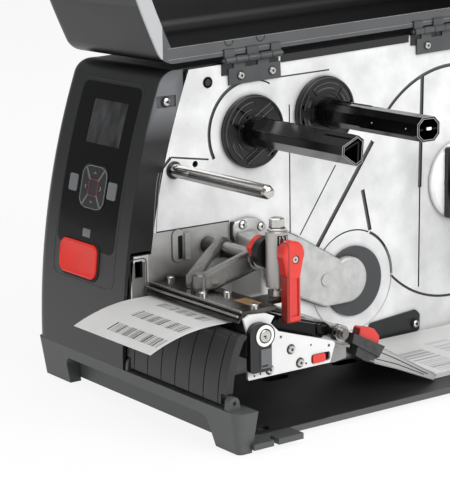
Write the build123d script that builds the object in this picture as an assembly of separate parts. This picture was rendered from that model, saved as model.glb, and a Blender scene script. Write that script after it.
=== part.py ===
from build123d import *
from math import asin, atan, cos, degrees, pi, radians, sin, sqrt, tan
import os

os.makedirs("parts", exist_ok=True)

# Industrial label printer with its media door swung open onto the left half.
# X = 0 is the door's hinge line, +X the media side, -Y the label exit, Z = 0 the table.
# Y is counted from the front of the base here; save() moves every piece back by mid_length.

# ---- overall sizes (mm)
body_width = 284.0
mech_span = 122.0         # chassis plate to the side bracket
door_reach = mech_span + 24.0   # hinge line to the door's outer face
base_length = 482.0
base_height = 33.0
label_overhang = 46.0     # printed label in front of the base
wall = 3.0                # moulded plastic wall
seam = 0.3                # gap between pieces that move apart
run_gap = 0.05            # radial clearance of shafts and pins
left_face = door_reach - body_width
mid_length = (base_length - label_overhang) / 2

# ---- shape of the front and the top
front_radius = 620.0
column_height = 262.0
top_front_height = column_height - 3.8  # top line of the chassis plate at Y = 0
top_slope = 2.6           # degrees, rising to the rear
side_face = 22.0          # bezel side seen in front of the chassis plate
corner_round = 14.0
nose_round = 16.0

# ---- chassis plate and door hinge
plate_face = -4.0
plate_thick = 4.0
plate_back = plate_face - plate_thick
hinge_rise = 3.0          # hinge line above the plate's top line
knuckle_radius = 2.9
leaf_thick = 1.8
hinge_length = 59.0
hinge_starts = (97.0, 293.6)
pin_radius = 1.5

# ---- base tray
floor_low = 4.0
floor_top = 9.0
rail_depth = 15.0
rail_height = 9.5
foot_taper = 8.6          # degrees
base_corner = 9.0
floor_right = door_reach - rail_depth - 1.0
tab_start, tab_end = 19.0, 60.0
foot_width = 33.0

# ---- print mechanism
bracket_thick = 2.0
bracket_in = plate_face + mech_span
bracket_out = bracket_in + bracket_thick
platen_y, platen_z, platen_radius = 41.3, 80.7, 8.7
paper = 0.3
label_width = mech_span - 18.0
label_left = 1.5
web_edge = label_left + label_width
web_z = platen_z + platen_radius + seam
roller_y, roller_z, roller_radius = 119.8, 67.4, 6.5
pivot_y, pivot_z, pivot_radius = 82.0, 121.5, 6.5
toggle_y, toggle_z, toggle_radius = 75.8, 131.2, 4.0
lever_thick, lever_length, lever_head = 8.6, 51.5, 10.0
tower_radius, tower_low, tower_top = 8.5, 107.0, 150.0
tower_x = bracket_in - 23.0
plunger_radius, plunger_lift = 4.0, 1.5
flap_width = mech_span + 8.5
flap_thick = 6.5
flap_top = 86.0


def front_y(z, inset=0.0):
    return front_radius - sqrt((front_radius - inset) ** 2 - (z - base_height) ** 2)


column_depth = front_y(column_height) + 18.2


def top_z(y):
    return top_front_height + y * tan(radians(top_slope))


def save(name, shape):
    export_step(Pos(0, -mid_length, 0) * shape, f"parts/{name}.step")


def block(x0, x1, y0, y1, z0, z1):
    return Pos((x0 + x1) / 2, (y0 + y1) / 2, (z0 + z1) / 2) * Box(x1 - x0, y1 - y0, z1 - z0)


def across(face, x0, x1):
    # a face drawn in (Y, Z), made solid from x0 to x1
    return extrude(Plane.YZ.offset(x0) * face, amount=x1 - x0)


def poly(*points):
    return make_face(Polyline(*points, close=True))


def rod(x0, x1, y, z, radius):
    return across(Pos(y, z) * Circle(radius), x0, x1)


def tube(x0, x1, y, z, outer, inner):
    return rod(x0, x1, y, z, outer) - rod(x0 - 1, x1 + 1, y, z, inner)


def upright(x, y, z0, z1, radius):
    return extrude(Plane.XY.offset(z0) * Pos(x, y) * Circle(radius), amount=z1 - z0)


def arc_band(cy, cz, radius, width, start, sweep, x0, x1):
    outer = CenterArc((cy, cz), radius + width / 2, start, sweep)
    inner = CenterArc((cy, cz), radius - width / 2, start, sweep)
    ends = [Line(outer @ 0, inner @ 0), Line(outer @ 1, inner @ 1)]
    return across(make_face([outer, inner] + ends), x0, x1)


def line_band(start, end, width, x0, x1):
    run = Vector(*end) - Vector(*start)
    middle = (Vector(*start) + Vector(*end)) * 0.5
    turn = degrees(atan(run.Y / run.X)) if abs(run.X) > 1e-6 else 90
    return across(Pos(middle.X, middle.Y) * Rot(0, 0, turn) * Rectangle(run.length, width), x0, x1)


def near(shape, *points):
    return [shape.edges().sort_by_distance(p)[0] for p in points]


# ---- outer skins that follow the curved front
def front_outline(z0, z1, depth, inset=0.0):
    # (Y, Z) face from the curved front back to Y = depth
    low = (front_y(z0, inset), z0)
    mid = (front_y((z0 + z1) / 2, inset), (z0 + z1) / 2)
    high = (front_y(z1, inset), z1)
    edges = [ThreePointArc(low, mid, high), Polyline(high, (depth, z1), (depth, z0), low)]
    return make_face(edges)


def front_skin(x0, x1, z0, z1, out, back, corner=0):
    # slab that follows the front, from out in front of it to back behind it
    reach = front_y(z1) + 60
    slab = across(front_outline(z0, z1, reach, -out), x0, x1) - across(
        front_outline(z0 - 1, z1 + 1, reach + 1, back), x0 - 1, x1 + 1)
    if corner:
        face = Pos((x0 + x1) / 2, (z0 + z1) / 2) * RectangleRounded(x1 - x0, z1 - z0, corner)
        slab &= extrude(Plane.XZ * face, amount=reach, both=True)
    return slab


# ---- base tray
def base_tray():
    width = door_reach - left_face
    middle = (door_reach + left_face) / 2
    plan = Pos(middle, base_length / 2) * RectangleRounded(width, base_length, base_corner)
    outer = extrude(Plane.XY.offset(base_height) * plan, amount=-base_height, taper=foot_taper)
    outer -= block(left_face - 1, door_reach + 1, -1, base_length + 1, -1, pad_proud)
    inner_right = door_reach - rail_depth
    skirt = rail_depth + wall
    rail_low = base_height - rail_height
    tray = outer - block(left_face + skirt, inner_right, skirt, base_length - skirt, floor_top, base_height + 1)
    tray -= block(left_face + rail_depth, inner_right, rail_depth, base_length - rail_depth, -1, floor_low)
    for y0, y1 in ((-1, rail_depth), (base_length - rail_depth, base_length + 1)):
        left, right = left_face + 46, door_reach - foot_width
        arch = poly((left, -1), (left - 2, rail_low), (right - 8, rail_low), (right, -1))
        arch = fillet(arch.vertices().group_by(Axis.Y)[-1], 7)
        tray -= extrude(Plane.XZ.offset(-y1) * arch, amount=y1 - y0)
    tray -= block(left_face - 1, left_face + rail_depth, foot_width, base_length - foot_width, -1, rail_low)
    wrap = poly((tab_start, base_height + 1), (tab_start - 3, -1), (base_length - tab_start + 3, -1),
                (base_length - tab_start, base_height + 1))
    tray -= across(wrap, inner_right - 1, door_reach + 1)
    tray += right_floor(inner_right)
    tray += flap_knuckles()
    tray -= upright(120, 42, 0, base_height, 5)
    for y in (128, 200):
        tray -= extrude(Pos(23, y) * SlotOverall(25, 11, rotation=90), amount=floor_top + 1)
    for x, y in foot_places():
        tray -= upright(x, y, -1, pad_proud + 1, pad_radius)
    return tray


def right_floor(inner_right):
    rear_start, rear_end = base_length - tab_start, base_length - tab_end
    floor = block(inner_right - 3, floor_right, tab_start - 4, rear_start + 4, floor_low, floor_top)
    for y0, y1 in ((tab_start - 4, tab_end), (rear_end, rear_start + 4)):
        floor += block(floor_right - 3, door_reach, y0, y1, floor_low, floor_top - 0.5)
    for y in (tab_start + 16, rear_start - 16):
        floor -= block(door_reach - 10, door_reach + 1, y - 2.2, y + 2.2, 0, floor_top + 1)
    return floor


pad_radius = 8.0
pad_proud = 1.0


def foot_places():
    xs = (left_face + 22, door_reach - 20)
    ys = (15, base_length - 15)
    return [(x, y) for x in xs for y in ys]


def rubber_feet():
    return Compound([upright(x, y, 0, 1 + pad_proud, pad_radius) for x, y in foot_places()])


# ---- front bezel and its controls
overlay_x, overlay_z = (left_face + 30.0, plate_face - 18.5), (119.0, column_height - 15.0)
overlay_thick = 1.4
pitch = (overlay_x[1] - overlay_x[0]) / 18
rise = (overlay_z[1] - overlay_z[0]) / 26
button_x, button_z = (overlay_x[0] + 1.9 * pitch, overlay_x[1] - 4.5 * pitch), (95.8, 123.5)
frame_margin = 2.2
lcd_x = (overlay_x[0] + 4.4 * pitch, overlay_x[1] - 3.2 * pitch)
lcd_z = (overlay_z[0] + 16.5 * rise, overlay_z[0] + 23.4 * rise)
led_x = (overlay_x[0] + 8.0 * pitch, overlay_x[0] + 10.3 * pitch)
led_z = (overlay_z[0] + 1.8 * rise, overlay_z[0] + 3.0 * rise)
key_gap = 0.3
key_proud = 0.5
key_travel = 0.6
button_proud = 3.0
board_depth = 12.0


def column_block(inset, right, low):
    top = column_height - inset
    face = front_outline(low, top, column_depth, inset)
    solid = across(face, left_face + inset, right)
    nose = near(solid, ((left_face + right) / 2, front_y(top, inset), top))
    solid = fillet(nose, max(nose_round - inset, 1))
    x = left_face + inset
    rim = near(solid, (x, front_y(120, inset), 120), (x, column_depth - 2, top),
               (x, front_y(top, inset) + 4, top - 4))
    return fillet(rim, max(corner_round - inset, 1))


def button_cut(grow):
    x0, x1 = button_x[0] - grow, button_x[1] + grow
    z0, z1 = button_z[0] - grow, button_z[1] + grow
    solid = block(x0, x1, -20, 60, z0, z1)
    return fillet(solid.edges().filter_by(Axis.Y), 7 + grow)


def front_bezel():
    body = column_block(0, plate_face, base_height)
    body -= column_block(wall, plate_face - wall, base_height - 1)
    body -= block(left_face + wall, plate_face - wall, column_depth - 1, column_depth + 1,
                  base_height - 1, column_height - wall)
    body -= across(front_outline(0, column_height + 9, column_depth + 9, side_face), plate_back - 2 * seam,
                   plate_face + 1)
    side_low = button_z[1] + 0.5
    body -= across(front_outline(0, side_low, column_depth + 9, wall), plate_face - 2 * wall, plate_face + 1)
    for place in key_places.values():
        body -= key_prism(*place, key_gap)
    body -= button_cut(0.4)
    body -= block(lcd_x[0] + 2, lcd_x[1] - 2, 0, 60, lcd_z[0] + 2, lcd_z[1] - 2)
    body -= overlay_slab(5)
    recess = block(plate_face - 1.2, plate_face + 1, 37, 55, 234, 243)
    return body - recess


def overlay_slab(out):
    # printed sheet with a loop of it round the feed button, drawn flat and cut to the front's curve
    def patch(x, z, grow, corner):
        face = RectangleRounded(x[1] - x[0] + 2 * grow, z[1] - z[0] + 2 * grow, corner)
        return Pos((x[0] + x[1]) / 2, (z[0] + z[1]) / 2) * face

    face = patch(overlay_x, overlay_z, 0, 7) + patch(button_x, button_z, frame_margin, 9)
    slab = extrude(Plane.XZ.offset(-70) * face, amount=80)
    (x0, x1), z0, z1 = overlay_x, button_z[0], overlay_z[1]
    return slab & front_skin(x0 - 9, x1 + 9, z0 - 9, z1 + 9, out, overlay_thick)


def overlay_panel():
    panel = overlay_slab(0)
    for place in key_places.values():
        panel -= key_prism(*place, key_gap)
    panel -= block(*lcd_x, -5, 60, *lcd_z)
    panel -= button_cut(0.5)
    return panel - front_skin(*led_x, *led_z, 5, 0.4, 2.5)


nav_x, nav_z = overlay_x[0] + 9.5 * pitch, overlay_z[0] + 9.85 * rise
# middle X, middle Z, width, height and corner radius of each key
key_places = {"nav_ring": (nav_x, nav_z, 8 * pitch, 7.1 * rise, 1.9 * pitch),
              "key_select": (nav_x, nav_z, 3 * pitch, 2.7 * rise, 2.0),
              "key_menu": (nav_x - 6.3 * pitch, nav_z, 2.6 * pitch, 2.8 * rise, 2.0),
              "key_back": (nav_x + 5.7 * pitch, nav_z, 2.6 * pitch, 2.8 * rise, 2.0)}


def key_prism(x, z, width, height, corner, grow=0.0):
    # key-shaped cutter that runs square to the front at height z
    tilt = degrees(asin((z - base_height) / front_radius))
    face = Plane.XZ * RectangleRounded(width + 2 * grow, height + 2 * grow, corner + grow)
    return Pos(x, front_y(z), z) * Rot(-tilt, 0, 0) * extrude(face, amount=20, both=True)


def key_cap(name):
    x, z, width, height, corner = key_places[name]
    cap = key_prism(x, z, width, height, corner)
    cap &= front_skin(x - width, x + width, z - height, z + height, key_proud, wall + 1.5)
    if name == "nav_ring":
        cap -= key_prism(*key_places["key_select"], key_gap)
    return cap


def feed_button():
    (x0, x1), (z0, z1) = button_x, button_z
    return button_cut(0) & front_skin(x0 - 2, x1 + 2, z0 - 2, z1 + 2, button_proud, wall + 3)


def display_board():
    # circuit board behind the keys, held by four posts, with the display window on it
    z0, z1 = button_z[0], overlay_z[1]
    board = front_skin(overlay_x[0] - 4, overlay_x[1] + 4, z0, z1, -board_depth, board_depth + 1.6)
    for x in overlay_x:
        for z in (z0 + 4, z1 - 4):
            tilt = degrees(asin((z - base_height) / front_radius))
            post = Pos(x, front_y(z), z) * Rot(90 - tilt, 0, 0) * Cylinder(2.5, 2.2 * board_depth)
            board += post & front_skin(x - 5, x + 5, z - 9, z + 9, -wall - 0.1, board_depth + 0.5)
    board += front_skin(*lcd_x, *lcd_z, -0.4, overlay_thick)
    return board + front_skin(lcd_x[0] + 2, lcd_x[1] - 2, lcd_z[0] + 2, lcd_z[1] - 2, -1, board_depth + 0.5)


# ---- chassis plate
spindle_places = {"takeup": (126.7, column_height - 54.5, -35.0), "supply": (200.3, column_height - 45.9, 0.0)}
hub_y, hub_z, hub_radius = 352.0, 142.0, 35.0
bay_radius = 102.0
bay_y, bay_z = 345.0, 141.0
ring_y, ring_z, ring_radius = 231.5, 69.0, 30.0
shaft_y, shaft_z, shaft_radius = 51.8, 184.5, 5.3
shaft_length = mech_span + 3.5
axle_radius = 4.0
bush_wall = 2.0
groove_deep = 1.5


def plate_outline():
    step, rear = button_z[1] - 2.5, base_length - 4
    lift, inset = base_height + 3, 6.5
    sill = 2 * rail_depth + 1
    tab = [(front_y(z, inset), z) for z in (lift, (step + lift) / 2, step)]
    crown_z = top_z(column_depth + 5.5)
    edge = [(front_y(z, side_face + seam), z) for z in (step, (step + crown_z) / 2, crown_z)]
    edges = [ThreePointArc(*tab), Line(tab[2], edge[0]), ThreePointArc(*edge)]
    edges += [Polyline(edge[2], (rear, top_z(rear)), (rear, lift), (base_length - sill, lift),
                       (base_length - sill, floor_top), (sill, floor_top), (sill, lift), tab[0])]
    return make_face(edges)


def chassis_plate():
    plate = across(plate_outline(), plate_back, plate_face)
    for y, z, _ in spindle_places.values():
        plate -= rod(plate_back - 1, plate_face + 1, y, z, axle_radius + bush_wall)
    for y, z, radius in ((shaft_y, shaft_z, 4), (platen_y, platen_z, 8), (hub_y, hub_z, 6), (72, 187, 2.6),
                         (85.2, 249.9, 4.4)):
        plate -= rod(plate_back - 1, plate_face + 1, y, z, radius)
    plate -= block(plate_back - 1, plate_face + 1, 13.5, 20.6, 104, 117)
    plate -= plate_grooves()
    return plate + pressed_frame()


def pressed_frame():
    # embossed frame with a dark slot in it and the tab folded out beside the slot
    face = Pos(53.8, 124.4) * RectangleRounded(10.8, 25.8, 5)
    frame = across(face, plate_face - 1, plate_face + 1.2) - across(
        Pos(55.7, 122.8) * RectangleRounded(4.6, 19, 1), plate_face - 2, plate_face + 2)
    return frame + block(plate_face - 1, plate_face + 3, 59.2, 64.3, 113, 134)


def plate_grooves():
    # panel lines of the casting: straight ones first, then arcs round the take-up, the roll and the ring
    x0, x1 = plate_face - groove_deep, plate_face + 1
    disc_y, disc_z, _ = spindle_places["takeup"]
    lines = [((40, 186), (49, 194.5), 2.6), ((49, 194.8), (85, 189.2), 1.4), ((122, 247.2), (207, 249.8), 1.2),
             ((309, 237), (307, 140), 4.2), ((307, 140), (306.5, 52), 1.6), ((165.5, 225), (165.5, 117), 1.2),
             ((253.8, 185.8), (193.8, 103.7), 4.2), ((213.5, 170), (175.7, 116), 1.2),
             ((242.8, 145.7), (251, 110), 4.0), ((34, 137.5), (104, 137.5), 1.1)]
    cut = Compound([line_band(a, b, w, x0, x1) for a, b, w in lines])
    arcs = [(disc_y, disc_z, 41, 3.0, 95, 112), (disc_y, disc_z, 41, 1.2, 62, 26),
            (bay_y, bay_z, bay_radius, 3.0, -20, 160), (bay_y, bay_z, bay_radius, 2.2, 226, 100),
            (ring_y, ring_z, ring_radius + 13.5, 2.6, 0, 64), (ring_y, ring_z, ring_radius + 13.5, 1.2, 66, 70)]
    return [cut] + [arc_band(*a, x0, x1) for a in arcs]


end_y, end_z, end_radius = 221.0, 72.8, 19.5


def drive_cover():
    # cast cover with its round end on a flat ring
    arm = poly((140, 120), (149, 126), (170.5, 115.6), (212, 91.6), (end_y, end_z), (end_y, end_z - end_radius),
               (196, 53.3), (171.5, 64.2), (144, 79), (138, 88))
    arm = fillet([v for v in arm.vertices() if v.X < 200], 4.0)
    cover = across(arm + Pos(end_y, end_z) * Circle(end_radius), plate_face, plate_face + 9)
    cover = fillet(cover.faces().sort_by(Axis.X)[-1].edges(), 2.0)
    cover += rod(plate_face, plate_face + 2.5, ring_y, ring_z, ring_radius)
    return cover + rod(plate_face + 8, plate_face + 9.8, 195.9, 76.5, 5)


def hatch_cover():
    face = poly((249, 28.5), (302, 32.5), (307, 28), (306.7, 13), (252, 10.5))
    return across(fillet(face.vertices(), 3), plate_face, plate_face + 1.5)


def top_strip():
    # dark edge trim over the plate's top between the hinges
    y0, y1 = hinge_starts[0] + hinge_length + 1, hinge_starts[1] - 1
    face = poly((y0, top_z(y0) - 5.5), (y1, top_z(y1) - 5.5), (y1, top_z(y1) + 0.8), (y0, top_z(y0) + 0.8))
    lip = poly((y0, top_z(y0)), (y1, top_z(y1)), (y1, top_z(y1) + 0.8), (y0, top_z(y0) + 0.8))
    return across(face, plate_face, plate_face + 0.8) + across(lip, plate_back, plate_face)


# ---- left cover, rear panel and electronics
port_z = 70.0


def electronics_cover():
    y0, y1 = column_depth + seam, base_length - 2
    top = column_height - top_z(column_depth)

    def hull(inset, low, front, rear):
        face = poly((front, low), (front, top_z(front) + top - inset), (rear, top_z(rear) + top - inset),
                    (rear, low))
        solid = across(face, left_face + inset, plate_back - seam)
        edge = near(solid, (left_face + inset, (front + rear) / 2, top_z((front + rear) / 2) + top - inset))
        return fillet(edge, max(corner_round - inset, 1))

    shell = hull(0, base_height, y0, y1) - hull(wall, base_height - 5, y0 - 5, y1 + 5)
    for i in range(9):
        y = 330 + i * 12
        shell -= block(left_face - 1, left_face + wall + 1, y, y + 4, 70, 120)
    return shell


def inside_top(y):
    return top_z(y) + column_height - top_z(column_depth) - wall


def rear_panel():
    y0 = base_length - 6
    top = inside_top(y0)
    panel = block(left_face + wall, plate_back - seam, y0, y0 + 1.5, base_height, top)
    panel = fillet(near(panel, (left_face + wall, y0 + 0.7, top)), corner_round - wall)
    panel -= block(*inlet_x, y0 - 1, y0 + 3, *inlet_z)
    panel -= block(*switch_x, y0 - 1, y0 + 3, *switch_z)
    for x0, x1, z0, z1 in port_windows():
        panel -= block(x0 - 0.5, x1 + 0.5, y0 - 1, y0 + 3, z0 - 0.5, z1 + 0.5)
    for i in range(8):
        panel -= block(left_face + 20 + i * 10, left_face + 25 + i * 10, y0 - 1, y0 + 3, 180, 220)
    return panel


inlet_x, inlet_z = (left_face + 12.0, left_face + 40.0), (50.0, 70.0)
switch_x, switch_z = (inlet_x[1] + 6.0, inlet_x[1] + 20.0), (49.0, 70.0)
board_x = plate_back - 38.0


def port_windows():
    # x0, x1, z0, z1 of the network, USB and serial connectors on the main board
    return [(board_x, board_x + 16, port_z, port_z + 14), (board_x, board_x + 14, port_z + 24, port_z + 32),
            (board_x, board_x + 31, port_z + 44, port_z + 54)]


def power_inlet():
    y0 = base_length - 6
    body = block(*inlet_x, y0 - 18, y0 + 2, *inlet_z)
    body += block(inlet_x[0] - 3, inlet_x[1] + 3, y0 + 1.5, y0 + 4, inlet_z[0] - 3, inlet_z[1] + 3)
    body -= block(inlet_x[0] + 2, inlet_x[1] - 2, y0 - 12, y0 + 5, inlet_z[0] + 2, inlet_z[1] - 2)
    mid_x, mid_z = sum(inlet_x) / 2, sum(inlet_z) / 2
    for dx, dz in ((-7, -1), (7, -1), (0, 3)):
        body += block(mid_x + dx - 1, mid_x + dx + 1, y0 - 13, y0 - 1, mid_z + dz - 2, mid_z + dz + 2)
    body += block(inlet_x[1] - 4, switch_x[0] + 2, y0 - 16, y0 - 12, *switch_z)
    body += block(*switch_x, y0 - 16, y0 + 2, *switch_z)
    body += block(switch_x[0] - 1.5, switch_x[1] + 1.5, y0 + 1.5, y0 + 3, switch_z[0] - 1.5, switch_z[1] + 1.5)
    body -= block(switch_x[0] + 1.5, switch_x[1] - 1.5, y0 - 8, y0 + 4, switch_z[0] + 1.5, switch_z[1] - 1.5)
    return body - rod(switch_x[0] + 0.6, switch_x[1] - 0.6, y0 - 1, sum(switch_z) / 2, rocker_pin + run_gap)


rocker_half = 8.2
rocker_pin = 1.2


def power_rocker():
    # rocker key, built level and tipped to its off side
    y0, mid_z = base_length - 6, sum(switch_z) / 2
    face = poly((y0 - 3, mid_z - rocker_half), (y0 + 2.4, mid_z - rocker_half), (y0 + 1.2, mid_z),
                (y0 + 2.4, mid_z + rocker_half), (y0 - 3, mid_z + rocker_half), (y0 - 5, mid_z))
    key = across(face, switch_x[0] + 1.9, switch_x[1] - 1.9)
    key += rod(switch_x[0] + 0.8, switch_x[1] - 0.8, y0 - 1, mid_z, rocker_pin)
    return key.rotate(Axis((0, y0 - 1, mid_z), (1, 0, 0)), 6)


def main_board():
    x0, y1 = board_x, base_length - 8
    board = block(x0 - 1.6, x0, base_length / 2, y1, base_height + 1, column_height - 72)
    board += block(x0, x0 + 9, y1 - 175, y1 - 145, 90, 120) + block(x0, x0 + 5, y1 - 114, y1 - 74, 120, 160)
    for y in (base_length / 2 + 20, y1 - 34):
        board += block(x0 - 1.6, x0, y, y + 10, floor_top, base_height + 2)
    for left, right, z0, z1 in port_windows():
        board += block(left, right, y1 - 14, y1 + 4.5, z0, z1)
        board -= block(left + 1, right - 1, y1 - 10, y1 + 5, z0 + 1, z1 - 1)
    return board


# ---- one motor turns the platen and the ribbon take-up through two belts
belt_plane = plate_back - 14
belt_width = 6.0
belt_thick = 1.4
belt_pitch = 10.0
motor_y, motor_z, motor_size = 110.0, 80.0, 42.0
motor_wheel, platen_wheel, takeup_wheel = 7.0, 11.0, 16.0
motor_face = belt_plane - belt_pitch - 9


def wheel(y, z, radius, plane):
    x0, x1 = plane - belt_width / 2 - seam, plane + belt_width / 2 + seam
    body = rod(x0, x1, y, z, radius)
    for x in (x0 - 1.2, x1):
        body += rod(x, x + 1.2, y, z, radius + belt_thick + 1)
    return body


def belt(y0, z0, r0, y1, z1, r1, plane):
    loops = []
    for grow in (seam, seam + belt_thick):
        circles = [Pos(y0, z0) * Circle(r0 + grow), Pos(y1, z1) * Circle(r1 + grow)]
        loops.append(make_hull(circles[0].edges() + circles[1].edges()))
    return across(loops[1] - loops[0], plane - belt_width / 2, plane + belt_width / 2)


def drive_belts():
    takeup_y, takeup_z, _ = spindle_places["takeup"]
    return Compound([belt(platen_y, platen_z, platen_wheel, motor_y, motor_z, motor_wheel, belt_plane),
                     belt(takeup_y, takeup_z, takeup_wheel, motor_y, motor_z, motor_wheel, belt_plane - belt_pitch)])


def drive_motor():
    # square motor on four posts that stand on the back of the chassis plate
    half = motor_size / 2
    body = block(motor_face - 34, motor_face, motor_y - half, motor_y + half, motor_z - half, motor_z + half)
    body = fillet(body.edges().filter_by(Axis.X), 4)
    for dy in (5 - half, half - 5):
        for dz in (5 - half, half - 5):
            body += rod(motor_face - 1, plate_back, motor_y + dy, motor_z + dz, 2.5)
    return body - rod(motor_face - 30, motor_face + 1, motor_y, motor_z, 2.5 + run_gap)


def motor_rotor():
    shaft = rod(motor_face - 28, belt_plane + belt_width / 2 + 3, motor_y, motor_z, 2.5)
    for plane in (belt_plane, belt_plane - belt_pitch):
        shaft += wheel(motor_y, motor_z, motor_wheel, plane)
    return shaft


# ---- ribbon spindles, guide shaft and media hub
spindle_length = mech_span + 6.0
spindle_radius = 12.3
collar_radius = 12.5
spindle_flat = 0.77
disc_radius = 29.5
disc_thick = 5.0
collar_length = 12.0
disc_gap = seam
hub_thick = 5.0
hanger_radius = 18.8
hanger_length = mech_span - 10.0


def shaft_bushes():
    bushes = [tube(plate_back, plate_face + 1.5, platen_y, platen_z, 8, 4 + run_gap),
              tube(bracket_in - 1.5, bracket_out, platen_y, platen_z, 8, 4 + run_gap)]
    for y, z, _ in spindle_places.values():
        bush = tube(plate_back - 5, plate_face, y, z, axle_radius + bush_wall, axle_radius + run_gap)
        bush += tube(plate_back - 5, plate_back, y, z, axle_radius + bush_wall + 3, axle_radius + run_gap)
        bushes.append(bush)
    return Compound(bushes)


def spindle_disc(name):
    y, z, turn = spindle_places[name]
    x0 = plate_face + disc_gap
    disc = rod(x0, x0 + disc_thick, y, z, disc_radius)
    disc = chamfer(disc.faces().sort_by(Axis.X)[-1].edges(), 1.5)
    for dy in (-19, 19):
        for dz in (-6, 6):
            disc -= Pos(x0 + disc_thick, y, z) * Rot(turn, 0, 0) * Pos(0, dy, dz) * Box(5, 14, 3.2)
    return disc - rod(x0 - 1, x0 + disc_thick + 1, y, z, axle_radius)


def spindle_barrel(name):
    # flatted core holder with its axle; the take-up's axle carries the belt wheel
    y, z, turn = spindle_places[name]
    x0, x1 = plate_face + disc_gap + disc_thick, plate_face + spindle_length
    flat = 2 * spindle_radius * spindle_flat
    outer = Circle(spindle_radius) & Rectangle(2 * spindle_radius, flat)
    inner = Circle(spindle_radius - 2) & Rectangle(2 * spindle_radius, flat - 4)
    barrel = across(Pos(y, z) * Rot(0, 0, turn) * (outer - inner), x0, x1)
    barrel += rod(x0, x0 + collar_length, y, z, collar_radius)
    if name == "takeup":
        plane = belt_plane - belt_pitch
        return barrel + rod(plane - 6, x0, y, z, axle_radius) + wheel(y, z, takeup_wheel, plane)
    return barrel + rod(plate_back - 9, x0, y, z, axle_radius) + rod(plate_back - 9, plate_back - 5.3, y, z, 8)


def ribbon_shaft():
    shaft = rod(plate_face, plate_face + shaft_length, shaft_y, shaft_z, shaft_radius)
    shaft = chamfer(shaft.faces().sort_by(Axis.X)[-1].edges(), 1.5)
    return shaft + rod(plate_back - 2, plate_face, shaft_y, shaft_z, 4)


def media_disc():
    x0 = plate_face + disc_gap
    disc = rod(x0, x0 + hub_thick, hub_y, hub_z, hub_radius)
    disc = chamfer(disc.faces().sort_by(Axis.X)[-1].edges(), 2)
    return disc - rod(x0 - 1, x0 + hub_thick + 1, hub_y, hub_z, 6)


def media_hanger():
    x0 = plate_face + disc_gap + hub_thick
    hanger = rod(x0, x0 + hanger_length, hub_y, hub_z, hanger_radius)
    hanger = chamfer(hanger.faces().sort_by(Axis.X)[-1].edges(), 2)
    hanger += rod(x0, x0 + 4, hub_y, hub_z, hanger_radius + 2.5)
    for y in (hub_y - 16, hub_y + 16):
        hanger += fillet(block(x0, x0 + 4, y - 5, y + 5, hub_z - 31, hub_z + 31).edges().filter_by(Axis.X), 2)
    hanger -= rod(x0 + 3, x0 + hanger_length + 1, hub_y, hub_z, hanger_radius - 2.5)
    return hanger + rod(plate_back - 8, x0 + 3, hub_y, hub_z, 6 - run_gap)


# ---- print head and its pressure mechanism
head_plate_low = web_z + paper + seam + 6.2
head_plate_thick = 3.0
head_plate_top = head_plate_low + head_plate_thick
head_front, head_rear = 28.0, 58.0
head_left, head_right = -2.0, bracket_in - 0.5
yoke_x = (15.0, 45.0, 60.0)     # left hub, boss and right hub
yoke_apex_y = 41.0
hub_wall = 3.0


def head_plate():
    plate = block(head_left, head_right, head_front, head_rear, head_plate_low, head_plate_top)
    plate = fillet(plate.edges().filter_by(Axis.Z), 2)
    plate += block(tower_x - 9, tower_x + 9, head_rear - 1, toggle_y + 6, head_plate_low, head_plate_top)
    return plate


def print_head():
    low = web_z + paper + seam
    face = poly((30, low + 1.5), (33, low), (52, low), (54, head_plate_low), (30, head_plate_low))
    return across(face, label_left - 1, label_left + label_width + 6)


def tear_bar():
    low = web_z + paper + 1.8
    y0 = head_front - 6
    face = poly((y0, low), (y0 + 1.2, low - 0.6), (y0 + 6, low + 3.5), (y0 + 6, head_plate_top),
                (y0 + 4.5, head_plate_top), (y0 + 4, low + 4.5))
    return across(face, head_left, head_right)


def head_bolts():
    places = [(1.5, 43), (head_right - 6, 41.8), (58, 33.5), (68, 49)]
    bolts = []
    for x, y in places:
        bolt = upright(x, y, head_plate_top, head_plate_top + 3, 3.2)
        bolts.append(chamfer(bolt.faces().sort_by(Axis.Z)[-1].edges(), 0.8))
    return Compound(bolts)


def head_yoke():
    # boss on the head plate with two arms back to the pivot
    left, apex, right = yoke_x
    hub = pivot_radius + run_gap + hub_wall
    plan = Sketch()
    for foot, hub_x, width in ((apex - 9, left, 7), (apex + 2, right, 8)):
        plan += make_hull((Pos(foot, yoke_apex_y + 1) * Circle(4.5)).edges()
                          + (Pos(hub_x, pivot_y) * Rectangle(width, 2 * hub)).edges())
    arms = extrude(Plane.XY.offset(head_plate_top) * plan, amount=45)
    side = make_hull((Pos(yoke_apex_y + 1, head_plate_top + 4) * Rectangle(13, 8)).edges()
                     + (Pos(pivot_y, pivot_z) * Circle(hub)).edges())
    yoke = arms & across(side, left - 20, right + 20)
    yoke += upright(apex, yoke_apex_y, head_plate_top, head_plate_top + 13.5, 7)
    yoke += block(apex - 9, apex, yoke_apex_y - 3.5, yoke_apex_y + 5, head_plate_top, head_plate_top + 7)
    return yoke - rod(left - 30, right + 30, pivot_y, pivot_z, pivot_radius + run_gap)


def plate_shafts():
    # steel shafts pressed into the plate: head pivot, guide roller shaft and media guide bar
    pivot = rod(plate_face, yoke_x[2] + 6, pivot_y, pivot_z, pivot_radius)
    roller = rod(plate_face, bracket_out + 2, roller_y, roller_z, 3)
    roller += rod(bracket_in + seam, bracket_in + 2.5, roller_y, roller_z, 4.5)
    bar = rod(plate_face, bracket_in, guide_bar_y, guide_bar_z, guide_bar_radius)
    return Compound([pivot, roller, bar])


lobe_thick = 4.0


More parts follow.
